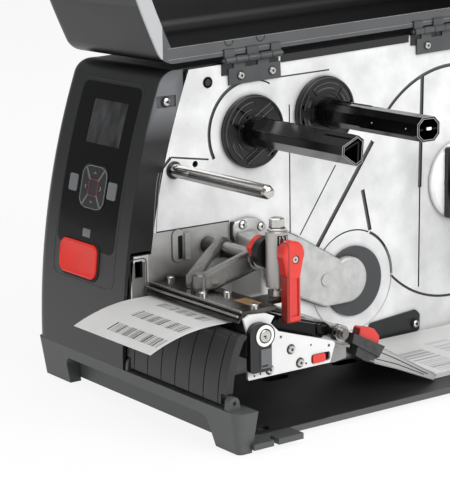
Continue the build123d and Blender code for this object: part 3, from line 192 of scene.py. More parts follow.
# rows of random bars on the hanging label and, paler, on the folded stack
labelPrint = [
    patch("#222325", (69, -33.3, 80), (33.5, 5.2, 12), bars=1.9),
    patch("#222325", (66.5, -10.5, 88), (33, 5.6, 5), bars=1.9),
    patch("#4c4d4f", (61, 14, 90), (31, 4.5, 3), bars=1.9),
    patch("#8a8b8d", (60, 200, 30), (30, 8, 12), bars=3.6),
    patch("#9a9b9d", (52, 172, 42), (34, 7, 12), bars=3.6),
    patch("#8f9091", (72, 250, 14), (30, 15, 14), bars=3.6),
    patch("#aeafb0", (66, 290, 14), (32, 13, 14), bars=3.6),
]
finish = {
    # injection-moulded ABS with a fine spark texture: near black, soft wide highlights; painted shade over
    # the upper front, and on the side face a painted highlight near the top with painted shade below it
    "column": surface("satinBlackAbs", "#29292a", 0.34, grain=0.2, grainSize=0.6, mottleSize=70.0,
                      creaseShade=0.5, specular=0.45, zones=[
                          patch("#9a9a9a", (-65, 10, 210), (300, 70, 130), blend="MULTIPLY", soft=0.5),
                          patch("#66676a", (-4.2, 46, 242), (1.6, 24, 34), soft=0.7),
                          patch("#0f0f10", (-4.2, 24, 172), (1.6, 20, 34), soft=0.6)]),
    # painted shade darkens the door's inside
    "door": surface("satinBlackDoorAbs", "#252526", 0.36, grain=0.2, grainSize=0.6, mottle=0.06, creaseShade=0.5,
                    specular=0.4, zones=[
                        patch("#0b0b0c", (-73.4, 246, 380), (69.9, 224, 111))]),
    # the base's moulding is rougher and greyer; its tabs and floor are painted darker, and painted shade
    # fills the two slots
    "base": surface("texturedDarkAbs", "#484949", 0.46, grain=0.35, grainSize=0.8, mottle=0.06, creaseShade=0.4,
                    zones=[
        patch("#1f1f20", (138.5, 62, 9.1), (9, 32, 0.5)),
        patch("#1f1f20", (62, 238, 8.3), (67.5, 222, 1.4)),
        patch("#050505", (23, 128, 6), (6.5, 13.5, 2.9)),
        patch("#050505", (23, 200, 6), (6.5, 13.5, 2.9))]),
    "flap": surface("texturedFlapAbs", "#212122", 0.42, grain=0.25, grainSize=0.8, mottle=0.06, creaseShade=0.5),
    # printed polyester overlay over black: mirror-like, almost no texture
    "gloss": surface("glossBlackOverlay", "#080809", 0.16, specular=0.12, mottle=0.03),
    "key": surface("greyPrintedKeys", "#696a6c", 0.4, mottle=0.04),
    "navKey": surface("blackPrintedKeys", "#101011", 0.2, coat=0.2, mottle=0.03),
    "line": surface("lightGreyPrint", "#8d8e90", 0.5, mottle=0.03),
    "redLine": surface("dimRedPrint", "#8c3b3f", 0.5, mottle=0.03),
    "darkRed": surface("darkRedKey", "#1d0f11", 0.25, coat=0.2, mottle=0.03),
    # moulded key: plain red with a soft sheen, and painted shade where it meets its gap
    "button": surface("satinRedFeedButton", "#e2352b", 0.4, specular=0.25, mottle=0.04, creaseShade=0.6),
    # display glass, switched off: dim upright streaks
    "glass": surface("unlitDisplayGlass", "#343435", 0.16, coat=0.1, specular=0.2, mottle=0.75,
                     mottleSize=12.0, stretch=(1, 1, 0.3)),
    # die-cast aluminium left bare: bright and cloudy, with painted shade in the grooves and corners
    "plate": surface("bareAluminiumPlate", "#dddddd", 0.4, metal=0.3, grain=0.3, grainSize=1.4, mottle=0.12,
                     mottleSize=34.0, spread=0.16, creaseShade=0.75, zones=plateMarks),
    "cover": surface("tumbledAluminiumCover", "#bdbdbc", 0.42, metal=0.35, grain=0.35, grainSize=1.6,
                     mottle=0.1, mottleSize=9.0, creaseShade=0.7, zones=[
                         patch("#47484a", (-3.0, 231.5, 69), (1.7, 31, 31), round=True)]),
    "lobe": surface("satinCastBracket", "#b9b9b8", 0.36, metal=0.6, grain=0.3, grainSize=1.4, mottle=0.14,
                    mottleSize=12.0, creaseShade=0.6),
    # painted and dark castings: the head's yoke keeps a silver shine
    "dark": surface("blackPaintedCasting", "#1e1f20", 0.38, grain=0.2, grainSize=0.9, creaseShade=0.4),
    "gunmetal": surface("darkSilverCasting", "#72716f", 0.27, metal=0.75, grain=0.1, grainSize=0.8,
                        mottle=0.12, mottleSize=16.0, creaseShade=0.6),
    # steels: oiled sheet is dark and patchy, turned and plated parts are bright
    "headSteel": surface("oiledSheetSteel", "#575451", 0.2, metal=0.9, grain=0.1, grainSize=1.0, mottle=0.35,
                         mottleSize=16.0, creaseShade=0.5),
    "leaf": surface("blackenedHingeSteel", "#4c4d4e", 0.36, metal=0.3, creaseShade=0.6),
    "steel": surface("turnedSteel", "#a9a6a2", 0.2, metal=1.0),
    # painted reflection on the ribbon rod: the dark column as one long streak beside a bright one, with a
    # fainter dark streak below
    "rod": surface("polishedRodSteel", "#c9c6c2", 0.14, metal=1.0, mottle=0.06, zones=[
        patch("#262524", (56, 47.5, 184.3), (59, 3.4, 1.3)),
        patch("#4a4846", (56, 51, 180.0), (59, 5, 0.9))]),
    "shafts": surface("brushedShaftSteel", "#83817e", 0.24, metal=0.95, mottle=0.1, stretch=(0.2, 1, 1),
                      zones=[
        # painted shadow on the pivot shaft: its stub by the plate and its front under the bracket's arm
        patch("#5e5d5c", (3.5, 82, 121.5), (7.9, 8, 8)),
        patch("#565553", (38, 77, 118.5), (20, 4, 2.6))]),
    "tower": surface("turnedTowerSteel", "#b1aeab", 0.36, metal=0.8, mottle=0.06, creaseShade=0.3, zones=[
        # painted shade inside the tower's window, round the spring
        patch("#0c0c0c", (104, 75.8, 143.4), (7.5, 4.8, 3.6))]),
    "plunger": surface("turnedPlungerSteel", "#b5b2af", 0.25, metal=0.9, mottle=0.06, zones=[
        patch("#0e0e0e", (95, 75.8, 112), (9, 9, 6.4))]),
    "zinc": surface("zincPlatedScrew", "#c9c7c2", 0.22, metal=0.9, mottle=0.06, zones=[
        patch("#141414", (-4.5, 85.2, 249.9), (2, 6, 6))]),
    "white": surface("whitePaintedSheet", "#d3d3d2", 0.42, mottle=0.03, creaseShade=0.5),
    "black": surface("blackMoulding", "#18191a", 0.36, grain=0.2, grainSize=0.5, mottle=0.06, creaseShade=0.3),
    "latch": surface("blackLatchMoulding", "#1b1b1c", 0.36, grain=0.2, grainSize=0.5, mottle=0.06,
                     creaseShade=0.3, zones=[patch("#5e5f60", (125.9, 41.7, 63.6), (1.2, 5, 7.5))]),
    "cam": surface("blackCamAndRedFinger", "#121213", 0.4, mottle=0.05, zones=[
        patch("#d8362b", (74.5, 72, 131), (3.8, 14, 14))]),
    # nylon ribbon holders: glossy barrels, satin discs, with painted highlights on ribs and edges
    "spindle": surface("glossBlackNylon", "#0a0a0b", 0.17, specular=0.22, mottle=0.04),
    "spindleDisc": surface("satinBlackNylon", "#19191a", 0.3, specular=0.45, mottle=0.05, creaseShade=0.6),
    "nylonHighlight": surface("nylonRibHighlight", "#4a4b4c", 0.26, specular=0.6, mottle=0.1),
    "glint": surface("edgeHighlight", "#a5a6a7", 0.2, mottle=0.05),
    # red plastic marks what is touched; painted shade darkens the front edges of the lever and the lock
    "red": surface("redTouchPlastic", "#cc3128", 0.3, coat=0.15, mottle=0.04, creaseShade=0.5, zones=[
        patch("#9c261f", (113.7, 69.2, 100), (6, 0.9, 45)),
        patch("#7c1f1b", (113, 137.2, 61), (6, 1.4, 9))]),
    "rubber": surface("blackRubber", "#1a1a1a", 0.75, grain=0.3, mottle=0.06),
    "disc": surface("lightGreyDisc", "#f2f2f1", 0.4, mottle=0.05, creaseShade=0.5),
    # door flange: grey, paler towards the front
    "rim": surface("greyDoorFlange", "#4b4c4d", 0.42, mottle=0.05, grain=0.2, grainSize=0.8, zones=[
        patch("#a9aaab", (-70, 0, 380), (90, 42, 140))]),
    # pale lines on the door flange's edges and along the plate's front border
    "edge": surface("paleEdgeLine", "#7b7c7d", 0.4),
    "pane": surface("smokedPane", "#141416", 0.1, coat=0.4, mottle=0.03),
    # coated label paper: off-white, slightly glossy
    "paper": surface("glossLabelPaper", "#cdcdcb", 0.35, mottle=0.03, zones=labelPrint),
    "board": surface("greenCircuitBoard", "#1f4a2c", 0.45),
    "tray": surface("brightTrayDeck", "#8e8d8b", 0.28, metal=0.8, grain=0.1, grainSize=1.0, mottle=0.2,
                    creaseShade=0.5),
    # coarse mottled moulding, light on the outer face of the arm
    "guide": surface("texturedGuideAndArm", "#303031", 0.42, grain=0.5, grainSize=1.0, mottle=0.35,
                     mottleSize=4.0, creaseShade=0.5, zones=[patch("#a09f9e", (108.9, 192, 30), (1.9, 34, 30))]),
    "copper": surface("brownPrintedPatch", "#8a6a4a", 0.4, mottle=0.15, mottleSize=6.0),
}

nodeFinish = {
    "base_tray": "base", "rubber_feet": "rubber", "front_bezel": "column", "overlay_panel": "gloss",
    "display_board": "glass", "feed_button": "button", "nav_ring": "navKey", "key_select": "darkRed",
    "key_menu": "key", "key_back": "key", "chassis_plate": "plate", "drive_cover": "cover",
    "hatch_cover": "dark", "top_strip": "black", "plate_screws": "zinc", "electronics_cover": "column",
    "rear_panel": "dark",
    "power_inlet": "black", "power_rocker": "black", "main_board": "board", "drive_motor": "black",
    "motor_rotor": "steel", "drive_belts": "rubber", "shaft_bushes": "black", "ribbon_shaft": "rod",
    "plate_shafts": "shafts", "media_disc": "disc", "media_hanger": "black", "head_plate": "headSteel",
    "print_head": "dark", "tear_bar": "headSteel", "head_bolts": "zinc", "head_yoke": "gunmetal",
    "toggle_bracket": "lobe", "pressure_tower": "tower", "pressure_knob": "zinc", "plunger": "plunger",
    "cam_shaft": "cam", "head_lever": "red", "platen_roller": "rubber", "platen_shaft": "steel",
    "side_bracket": "white", "latch_block": "latch", "label_stock": "paper", "media_tray": "tray",
    "upper_guide": "spindle", "sensor_slider": "red", "guide_roller": "steel", "media_guide": "guide",
    "guide_lock": "red", "front_flap": "flap", "media_door": "door", "door_rim": "rim", "door_window": "pane",
    "fixed_leaves": "leaf", "door_leaves": "leaf", "takeup_disc": "spindleDisc", "takeup_barrel": "spindle",
    "supply_disc": "spindleDisc", "supply_barrel": "spindle",
}
for name, which in nodeFinish.items():
    slots = nodes[name].material_slots
    for entry in slots:
        entry.material = finish[which]
    if not len(slots):
        nodes[name].data.materials.append(finish[which])
print("materials on", len(nodeFinish), "nodes")


# ---- building pieces
def vertsOf(geometry):
    return [v for v in geometry if isinstance(v, bmesh.types.BMVert)]


def edgesOf(verts):
    return list({e for v in verts for e in v.link_edges})


def soften(build, edges, offset, segments):
    # rounds the given edges, offset in mm
    return bmesh.ops.bevel(build, geom=edges, offset=offset / 1000, offset_type="OFFSET", segments=segments,
                           profile=0.5, affect="EDGES", material=-1)["verts"]


def joinInto(build, part):
    # empties a second bmesh into the first
    carried = bpy.data.meshes.new("carried")
    part.to_mesh(carried)
    part.free()
    build.from_mesh(carried)
    bpy.data.meshes.remove(carried)


def piece(name, build, body, which, replaces=(), smooth=35):
    # closes a bmesh into a finished object that rides on a body
    bmesh.ops.remove_doubles(build, verts=build.verts, dist=1e-6)
    bmesh.ops.recalc_face_normals(build, faces=build.faces)
    mesh = bpy.data.meshes.new(name)
    build.to_mesh(mesh)
    build.free()
    made = bpy.data.objects.new(name, mesh)
    bpy.context.collection.objects.link(made)
    mesh.materials.append(finish[which])
    mesh.shade_smooth()
    mesh.set_sharp_from_angle(angle=math.radians(smooth))
    if replaces:
        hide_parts(*replaces)
    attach(made, body)
    return made


def box(build, low, high, bevel=0.0, turn=None, about=None):
    # corners and the turn's centre are points in mm
    a, b = place(*low), place(*high)
    made = bmesh.ops.create_cube(build, size=1.0)["verts"]
    bmesh.ops.scale(build, vec=b - a, verts=made)
    bmesh.ops.translate(build, vec=(a + b) / 2, verts=made)
    if bevel:
        made = soften(build, edgesOf(made), bevel, 2)
    if turn is not None:
        bmesh.ops.rotate(build, cent=place(*about), matrix=turn, verts=made)
    return made


axisTurn = {"x": Matrix.Rotation(math.radians(90), 3, "Y"), "z": Matrix.Identity(3)}


def cylinder(build, axis, start, end, radius, radiusEnd=None, segments=32):
    # start and end are points in mm on a line parallel to the axis
    a, b = place(*start), place(*end)
    made = bmesh.ops.create_cone(build, cap_ends=True, segments=segments, radius1=radius / 1000,
                                 radius2=(radius if radiusEnd is None else radiusEnd) / 1000,
                                 depth=(b - a).length)["verts"]
    bmesh.ops.rotate(build, cent=(0, 0, 0), matrix=axisTurn[axis], verts=made)
    bmesh.ops.translate(build, vec=(a + b) / 2, verts=made)
    return made


def turned(build, axis, centre, steps, segments=48):
    # stepped rod along x or z: pairs of place and radius in mm, each joined to the next by a cone
    made = []
    for (a, radius), (b, radiusEnd) in zip(steps, steps[1:]):
        start, end = [(at, *centre) if axis == "x" else (*centre, at) for at in (a, b)]
        made += cylinder(build, axis, start, end, radius, radiusEnd, segments)
    return made


def prism(build, outline, x0, x1):
    # outline of (y, z) points drawn at x0 and pushed to x1
    corners = [build.verts.new(place(x0, y, z)) for y, z in outline]
    start = build.faces.new(corners)
    pushed = vertsOf(bmesh.ops.extrude_face_region(build, geom=[start])["geom"])
    bmesh.ops.translate(build, vec=Vector(((x1 - x0) / 1000, 0, 0)), verts=pushed)
    return corners + pushed


def wires(name, lines, radius, body, which):
    # fine raised lines, each a list of (x, y, z) points with True for a closed loop
    data = bpy.data.curves.new(name, "CURVE")
    data.dimensions = "3D"
    data.bevel_depth = radius / 1000
    data.bevel_resolution = 1
    data.resolution_u = 1
    for points, closed in lines:
        spline = data.splines.new("POLY")
        spline.points.add(len(points) - 1)
        for spot, point in zip(spline.points, points):
            spot.co = (*place(*point), 1.0)
        spline.use_cyclic_u = closed
    made = bpy.data.objects.new(name, data)
    bpy.context.collection.objects.link(made)
    data.materials.append(finish[which])
    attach(made, body)
    return made


def arc(cx, cz, radius, start, end, steps):
    # points on a circle from one angle to another, in degrees
    turns = [math.radians(start + (end - start) * i / steps) for i in range(steps + 1)]
    return [(cx + radius * math.cos(a), cz + radius * math.sin(a)) for a in turns]


def roundedLoop(low, high, radius, steps):
    # points round a rectangle with rounded corners
    (x0, z0), (x1, z1) = low, high
    corners = ((x0 + radius, z1 - radius, 90), (x0 + radius, z0 + radius, 180),
               (x1 - radius, z0 + radius, 270), (x1 - radius, z1 - radius, 0))
    return [spot for cx, cz, start in corners for spot in arc(cx, cz, radius, start, start + 90, steps)]


# ---- front panel: printed lines and key marks that follow the curved front
panel = {"navX": -62.9, "navZ": 167.0, "half": (17.4, 16.4), "cut": (9.0, 6.0), "centre": (6.0, 5.6),
         "line": 0.22, "proud": 0.55, "split": 0.7, "chevron": 1.7, "chevronLine": 0.32,
         "reach": (11.616, 12.2), "select": (6.6, 6.4), "selectCut": (2.2, 2.2), "selectLine": 0.3}


def onFront(x, z, proud):
    return (x, frontY(z, proud), z)


def ringOf(cx, cz, half, cut, proud):
    # rectangle with its corners cut off in two steps
    (hx, hz), (cutX, cutZ) = half, cut
    spots = [(-hx, -hz + cutZ), (-hx, hz - cutZ), (-hx + cutX * 0.35, hz - cutZ * 0.3), (-hx + cutX, hz),
             (hx - cutX, hz), (hx - cutX * 0.35, hz - cutZ * 0.3), (hx, hz - cutZ), (hx, -hz + cutZ),
             (hx - cutX * 0.35, -hz + cutZ * 0.3), (hx - cutX, -hz), (-hx + cutX, -hz),
             (-hx + cutX * 0.35, -hz + cutZ * 0.3)]
    return [onFront(cx + x, cz + z, proud) for x, z in spots]


def panelPrint():
    x, z, proud = panel["navX"], panel["navZ"], panel["proud"]
    (hx, hz), (cutX, cutZ), (mx, mz) = panel["half"], panel["cut"], panel["centre"]
    lines = [(ringOf(x, z, panel["half"], panel["cut"], proud), True)]
    for sx in (-1, 1):
        for sz in (-1, 1):
            for shift in (-panel["split"], panel["split"]):
                inner = (x + sx * mx + shift, z + sz * mz)
                outer = (x + sx * (hx - cutX * 0.5) + shift, z + sz * (hz - cutZ * 0.35))
                steps = [(inner[0] + (outer[0] - inner[0]) * t / 4, inner[1] + (outer[1] - inner[1]) * t / 4)
                         for t in range(5)]
                lines.append(([onFront(*s, proud) for s in steps], False))
    wires("navLines", lines, panel["line"], "nav", "line")
    mark, (rx, rz) = panel["chevron"], panel["reach"]
    marks = []
    for dx, dz in ((0, 1), (0, -1), (1, 0), (-1, 0)):
        tip = (x + dx * rx, z + dz * rz)
        wings = [(tip[0] - dx * mark + s * dz * mark, tip[1] - dz * mark + s * dx * mark) for s in (-1, 1)]
        marks.append(([onFront(*spot, proud) for spot in (wings[0], tip, wings[1])], False))
    wires("navChevrons", marks, panel["chevronLine"], "nav", "line")
    ring = ringOf(x, z, panel["select"], panel["selectCut"], proud)
    wires("selectOutline", [(ring, True)], panel["selectLine"], "select", "redLine")


panelPrint()

led = {"x": (-70.0, -59.0), "z": (127.6, 134.2), "proud": 0.25, "sunk": 0.6, "edge": 0.1}


def frontSlope(z):
    # turn that lays a flat piece on the curved front
    return Matrix.Rotation(-math.asin((z - frontArc["foot"]) / frontArc["radius"]), 3, "X")


def panelLight():
    (x0, x1), (z0, z1) = led["x"], led["z"]
    middle = (z0 + z1) / 2
    y = frontY(middle)
    build = bmesh.new()
    box(build, (x0, y - led["proud"], z0), (x1, y + led["sunk"], z1), led["edge"], frontSlope(middle),
        (x0, y, middle))
    piece("statusLight", build, "frame", "key")


panelLight()

lip = {"low": (-110.5, 92.0), "high": (-20.0, 249.5), "corner": 8.0, "pitch": 8, "proud": -0.25, "line": 0.55}


def panelLip():
    # thin moulded ridge round the overlay, with points close enough to follow the curved front
    spots = roundedLoop(lip["low"], lip["high"], lip["corner"], 4)
    line = []
    for a, b in zip(spots, spots[1:] + spots[:1]):
        steps = max(1, int(math.hypot(b[0] - a[0], b[1] - a[1]) / lip["pitch"]))
        line += [onFront(a[0] + (b[0] - a[0]) * t / steps, a[1] + (b[1] - a[1]) * t / steps, lip["proud"])
                 for t in range(steps)]
    wires("panelLip", [(line, True)], lip["line"], "frame", "column")


panelLip()

feedKey = {"x": (-98.9, -44.0), "z": (95.9, 123.4), "front": 3.0, "back": 5.0, "corner": 7.5, "rimWide": 1.6,
           "rimDeep": 1.2, "faceWide": 2.2, "faceDeep": 0.7, "gap": 1.0, "gapCorner": 8.2, "gapProud": 0.1,
           "gapLine": 0.85}


def feedButton():
    # pillow-shaped key: flat face inside a rounded rim
    build = bmesh.new()
    (x0, x1), (z0, z1) = feedKey["x"], feedKey["z"]
    middle = (z0 + z1) / 2
    y = frontY(middle)
    box(build, (x0, y - feedKey["front"], z0), (x1, y + feedKey["back"], z1))
    upright = [e for e in build.edges if abs((e.verts[0].co - e.verts[1].co).normalized().y) > 0.9]
    soften(build, upright, feedKey["corner"], 6)
    face = min(build.faces, key=lambda f: f.calc_center_median().y)
    rim = bmesh.ops.inset_region(build, faces=[face], thickness=feedKey["rimWide"] / 1000, depth=0.0)["faces"]
    outer = list({v for f in rim for v in f.verts} - set(face.verts))
    bmesh.ops.translate(build, vec=(0, feedKey["rimDeep"] / 1000, 0), verts=outer)
    bmesh.ops.inset_region(build, faces=[face], thickness=feedKey["faceWide"] / 1000, depth=0.0)
    bmesh.ops.translate(build, vec=(0, feedKey["faceDeep"] / 1000, 0), verts=list(face.verts))
    bmesh.ops.rotate(build, cent=place(x0, y, middle), matrix=frontSlope(middle), verts=build.verts)
    piece("feedKey", build, "feed", "button", ["feed_button"], 40)


def buttonGap():
    # dark gap that shows round the feed button
    (x0, x1), (z0, z1), gap = feedKey["x"], feedKey["z"], feedKey["gap"]
    spots = roundedLoop((x0 - gap, z0 - gap), (x1 + gap, z1 + gap), feedKey["gapCorner"], 6)
    line = [onFront(x, z, feedKey["gapProud"]) for x, z in spots]
    wires("buttonGap", [(line, True)], feedKey["gapLine"], "frame", "rubber")


feedButton()
buttonGap()
print("front panel done")


# ---- ribbon spindles: (y, z, turn in degrees) and sizes along x
spindle = {"takeup": (126.7, 207.5, -35.0), "supply": (200.3, 216.1, 0.0), "start": 6.3, "end": 123.8,
           "wall": 1.5, "collar": 12.5, "collarStart": 1.3, "collarEnd": 13.3, "webStart": 20,
           "webInset": 0.5}


def spin(points, cy, cz, degrees):
    c, s = math.cos(math.radians(degrees)), math.sin(math.radians(degrees))
    return [(cy + y * c - z * s, cz + y * s + z * c) for y, z in points]


def strip(a, b, width):
    # corners of a straight bar between two points
    length = math.hypot(b[0] - a[0], b[1] - a[1])
    ny, nz = -(b[1] - a[1]) / length * width / 2, (b[0] - a[0]) / length * width / 2
    return [(a[0] + ny, a[1] + nz), (b[0] + ny, b[1] + nz), (b[0] - ny, b[1] - nz), (a[0] - ny, a[1] - nz)]


def barrel(which, outline, webs, ribs):
    # hollow moulding with a wall round its outline, webs across its mouth and ribs along its flats
    cy, cz, turn = spindle[which]
    build = bmesh.new()
    cylinder(build, "x", (spindle["collarStart"], cy, cz), (spindle["collarEnd"], cy, cz), spindle["collar"],
             segments=48)
    shell = bmesh.new()
    prism(shell, spin(outline, cy, cz, turn), spindle["start"], spindle["end"])
    mouth = max(shell.faces, key=lambda f: f.calc_center_median().x)
    bmesh.ops.delete(shell, geom=[mouth], context="FACES_ONLY")
    bmesh.ops.recalc_face_normals(shell, faces=shell.faces)
    bmesh.ops.solidify(shell, geom=shell.faces, thickness=spindle["wall"] / 1000)
    joinInto(build, shell)
    for a, b, width in webs:
        prism(build, spin(strip(a, b, width), cy, cz, turn), spindle["webStart"],
              spindle["end"] - spindle["webInset"])
    for x0, x1, (y, z), (wide, high) in ribs:
        section = [(y + sy * wide / 2, z + sz * high / 2) for sy, sz in ((-1, -1), (1, -1), (1, 1), (-1, 1))]
        prism(build, spin(section, cy, cz, turn), x0, x1)
    piece(which + "Holder", build, which, "spindle", [which + "_barrel"], 30)


triangle = [(-11.6, -3.0), (-8.2, -8.6), (8.2, -8.6), (11.6, -3.0), (3.2, 11.4), (-3.2, 11.4)]
octagon = [(-11.2, -4.4), (-6.0, -9.4), (6.0, -9.4), (11.2, -4.4), (11.2, 4.4), (6.0, 9.4), (-6.0, 9.4),
           (-11.2, 4.4)]
# webs are (point, point, width), ribs are (from x, to x, middle, size)
barrel("takeup", triangle, [((-9, -6), (0, 8), 1.3), ((9, -6), (0, 8), 1.3)],
       [(16, 60, (2.9, 11.3), (0.9, 0.9)), (16, 60, (-2.9, 11.3), (0.9, 0.9)),
        (64, 112, (0, 11.5), (5.5, 0.6)), (30, 84, (-11.3, -3.4), (0.9, 1.2)),
        (92, 122, (-6.2, 6.2), (1.2, 1.2))])
barrel("supply", octagon, [((-11, 0), (-5, 0), 1.4), ((5, 0), (11, 0), 1.4)],
       [(16, 50, (6.0, 9.5), (1.2, 0.8)), (16, 50, (-6.0, 9.5), (1.2, 0.8)),
        (56, 120, (-11.3, 4.4), (0.7, 1.4)), (56, 120, (-11.3, -4.4), (0.7, 1.4)),
        (24, 52, (-11.3, 0), (0.8, 5.0))])


def band(build, cy, cz, inner, outer, start, end, x0, x1):
    # part of a flat ring about (cy, cz), angles in degrees
    outline = arc(cy, cz, outer, start, end, 24) + arc(cy, cz, inner, start, end, 24)[::-1]
    prism(build, outline, x0, x1)


def bar(build, cy, cz, a, b, width, x0, x1):
    # straight rib between two points given from (cy, cz)
    prism(build, [(cy + y, cz + z) for y, z in strip(a, b, width)], x0, x1)


# bands are (inner, outer, from, to) in mm and degrees, bars are pairs of points
discWork = {"face": 1.2, "rims": ((27.0, 28.9), (15.2, 16.4)), "rimHeight": 0.9,
            "glint": (28.2, 28.7, 20, 200), "barWidth": 4.0,
            "takeupBars": (((-11, 3), (17, 20)), ((-9, -23), (10, -11)), ((-21, -9), (-14, -19))),
            "takeupBands": ((23.6, 24.4, 95, 160), (18.0, 18.6, 101, 154), (23.6, 24.4, 200, 232),
                            (18.0, 18.6, 206, 226), (23.6, 24.4, 300, 340), (18.0, 18.6, 306, 334)),
            "supplyBands": ((18, 24.5, 62, 128), (18, 24.5, 140, 172), (18.5, 24.5, 186, 232),
                            (18, 24, 4, 50), (18, 24, 250, 292)), "ribHeight": 1.15, "bandEdge": 0.25}


def takeupWork(rib, pocket, cy, cz, x0):
    # three long pockets with a rib along each side, and pairs of thin arcs; the pockets are painted dark as
    # shade, the ribs and arcs as highlights
    for a, b in discWork["takeupBars"]:
        bar(pocket, cy, cz, a, b, discWork["barWidth"], x0, x0 + 0.2)
        for shift in (-2.0, 2.0):
            ends = [(y + shift * 0.6, z - shift) for y, z in (a, b)]
            bar(rib, cy, cz, *ends, 0.7, x0, x0 + 1.0)
    for inner, outer, start, end in discWork["takeupBands"]:
        band(rib, cy, cz, inner, outer, start, end, x0, x0 + discWork["rimHeight"])


def supplyWork(build, rib, pocket, cy, cz, x0):
    # raised pads, each with a painted highlight on its outer edge, a painted highlight line inside and a
    # pocket of painted shade
    high = x0 + discWork["ribHeight"]
    for inner, outer, start, end in discWork["supplyBands"]:
        band(build, cy, cz, inner, outer, start, end, x0, x0 + 1.0)
        band(rib, cy, cz, outer - 0.6, outer, start, end, x0, high)
        band(rib, cy, cz, inner + 1.6, inner + 2.4, start + 8, end - 8, x0, high)
        band(pocket, cy, cz, inner + 2.4, outer - 1.4, start + 8, end - 8, x0 + 1.0, x0 + 1.1)


def discFaces():
    # raised rims, ribs and shaded pockets on the two ribbon discs
    x0 = discWork["face"]
    for which in ("takeup", "supply"):
        cy, cz = spindle[which][:2]
        build, rib, pocket = bmesh.new(), bmesh.new(), bmesh.new()
        for inner, outer in discWork["rims"]:
            for half in (0, 180):
                band(build, cy, cz, inner, outer, half, half + 180, x0, x0 + discWork["rimHeight"])
        band(rib, cy, cz, *discWork["glint"], x0 + 0.8, x0 + 1.1)
        if which == "takeup":
            takeupWork(rib, pocket, cy, cz, x0)
        else:
            supplyWork(build, rib, pocket, cy, cz, x0)
        bmesh.ops.recalc_face_normals(build, faces=build.faces)
        top = [e for e in build.edges if all(v.co.x > (x0 + 0.8) / 1000 for v in e.verts)]
        soften(build, top, discWork["bandEdge"], 1)
        piece(which + "Face", build, which, "spindleDisc")
        piece(which + "PocketShade", pocket, which, "rubber")
        piece(which + "RibHighlights", rib, which, "nylonHighlight")


discFaces()

glints = {"proud": 0.05, "inner": 0.86, "mouthLine": 0.22, "edgeLine": 0.17,
          "runs": ((18, 64), (24, 92), (70, 120)), "seen": {"takeup": (0, 4, 5), "supply": (5, 6, 7)},
          "glintBox": ((121.5, -0.4, -1.0), (122.5, 4.4, 1.2)), "dots": (70, 110), "dotY": -11.4,
          "dotSize": (0.9, 0.3)}


def barrelGlints():
    # painted highlights on the edges of the moulded barrels and round their open mouths, and painted glints
    # in the supply barrel's mouth and on its side
    for which, outline in (("takeup", triangle), ("supply", octagon)):
        centre = spindle[which]
        corners = spin(outline, *centre)
        inner = spin([(y * glints["inner"], z * glints["inner"]) for y, z in outline], *centre)
        end = spindle["end"] + glints["proud"]
        wires(which + "MouthGlint", [([(end, y, z) for y, z in loop], True) for loop in (corners, inner)],
              glints["mouthLine"], which, "glint")
        lines = []
        for i, (start, stop) in zip(glints["seen"][which], glints["runs"]):
            y, z = corners[i]
            lines.append(([(start, y, z), (stop, y, z)], False))
        wires(which + "Glints", lines, glints["edgeLine"], which, "nylonHighlight")
    build = bmesh.new()
    cy, cz = spindle["supply"][:2]
    low, high = [(x, cy + y, cz + z) for x, y, z in glints["glintBox"]]
    box(build, low, high, 0.2)
    long, deep = glints["dotSize"]
    y = cy + glints["dotY"]
    for x in glints["dots"]:
        box(build, (x, y, cz - 0.4), (x + long, y + deep, cz + 0.5))
    piece("supplyGlint", build, "supply", "disc")


barrelGlints()

ribbonBar = {"centre": (51.8, 184.5), "steps": ((-4, 5.3), (115.6, 5.3), (118.6, 4.0), (119.4, 2.6)),
             "socket": ((-4.2, 7.0), (-3.2, 7.0))}


def ribbonRod():
    build = bmesh.new()
    turned(build, "x", ribbonBar["centre"], ribbonBar["steps"])
    piece("ribbonRod", build, "frame", "rod", ["ribbon_shaft"])
    socket = bmesh.new()
    turned(socket, "x", ribbonBar["centre"], ribbonBar["socket"], 40)
    piece("rodSocket", socket, "frame", "dark")


ribbonRod()
print("spindles done")


# ---- screws: painted shadow rings, painted shade in the recesses and one hole, and bright heads on the plate and on the bracket's lobe
hinge = {"height": 261.2, "slope": 2.6, "starts": (97.0, 293.6)}
screws = {"plate": [(-3.4, 46.0, 238.4), (-0.7, 301.0, 20.3)],
          "plateTops": [(-2.2, 46.0, 238.4), (0.4, 301.0, 20.3)],
          "leafFace": -2.2, "leafSpots": (19, 50), "leafDrop": 13.5, "bracketFace": 120,
          "bracket": [(68.9, 64.7), (77.4, 52.9), (48.9, 52.6)], "lobe": [(114.3, 133.6), (132.7, 129.8)],
          "lobeTop": 1.6, "tall": 1.8, "ring": 3.9, "recess": 1.25, "plateHead": (2.6, 3.1),
          "lobeHead": (2.1, 3.4), "hole": (85.2, 249.9), "holeSteps": ((-4.2, 2.6), (-3.3, 2.6))}


def hingeHeight(y):
    # the hinge line rises to the rear
    return hinge["height"] + y * math.tan(math.radians(hinge["slope"]))


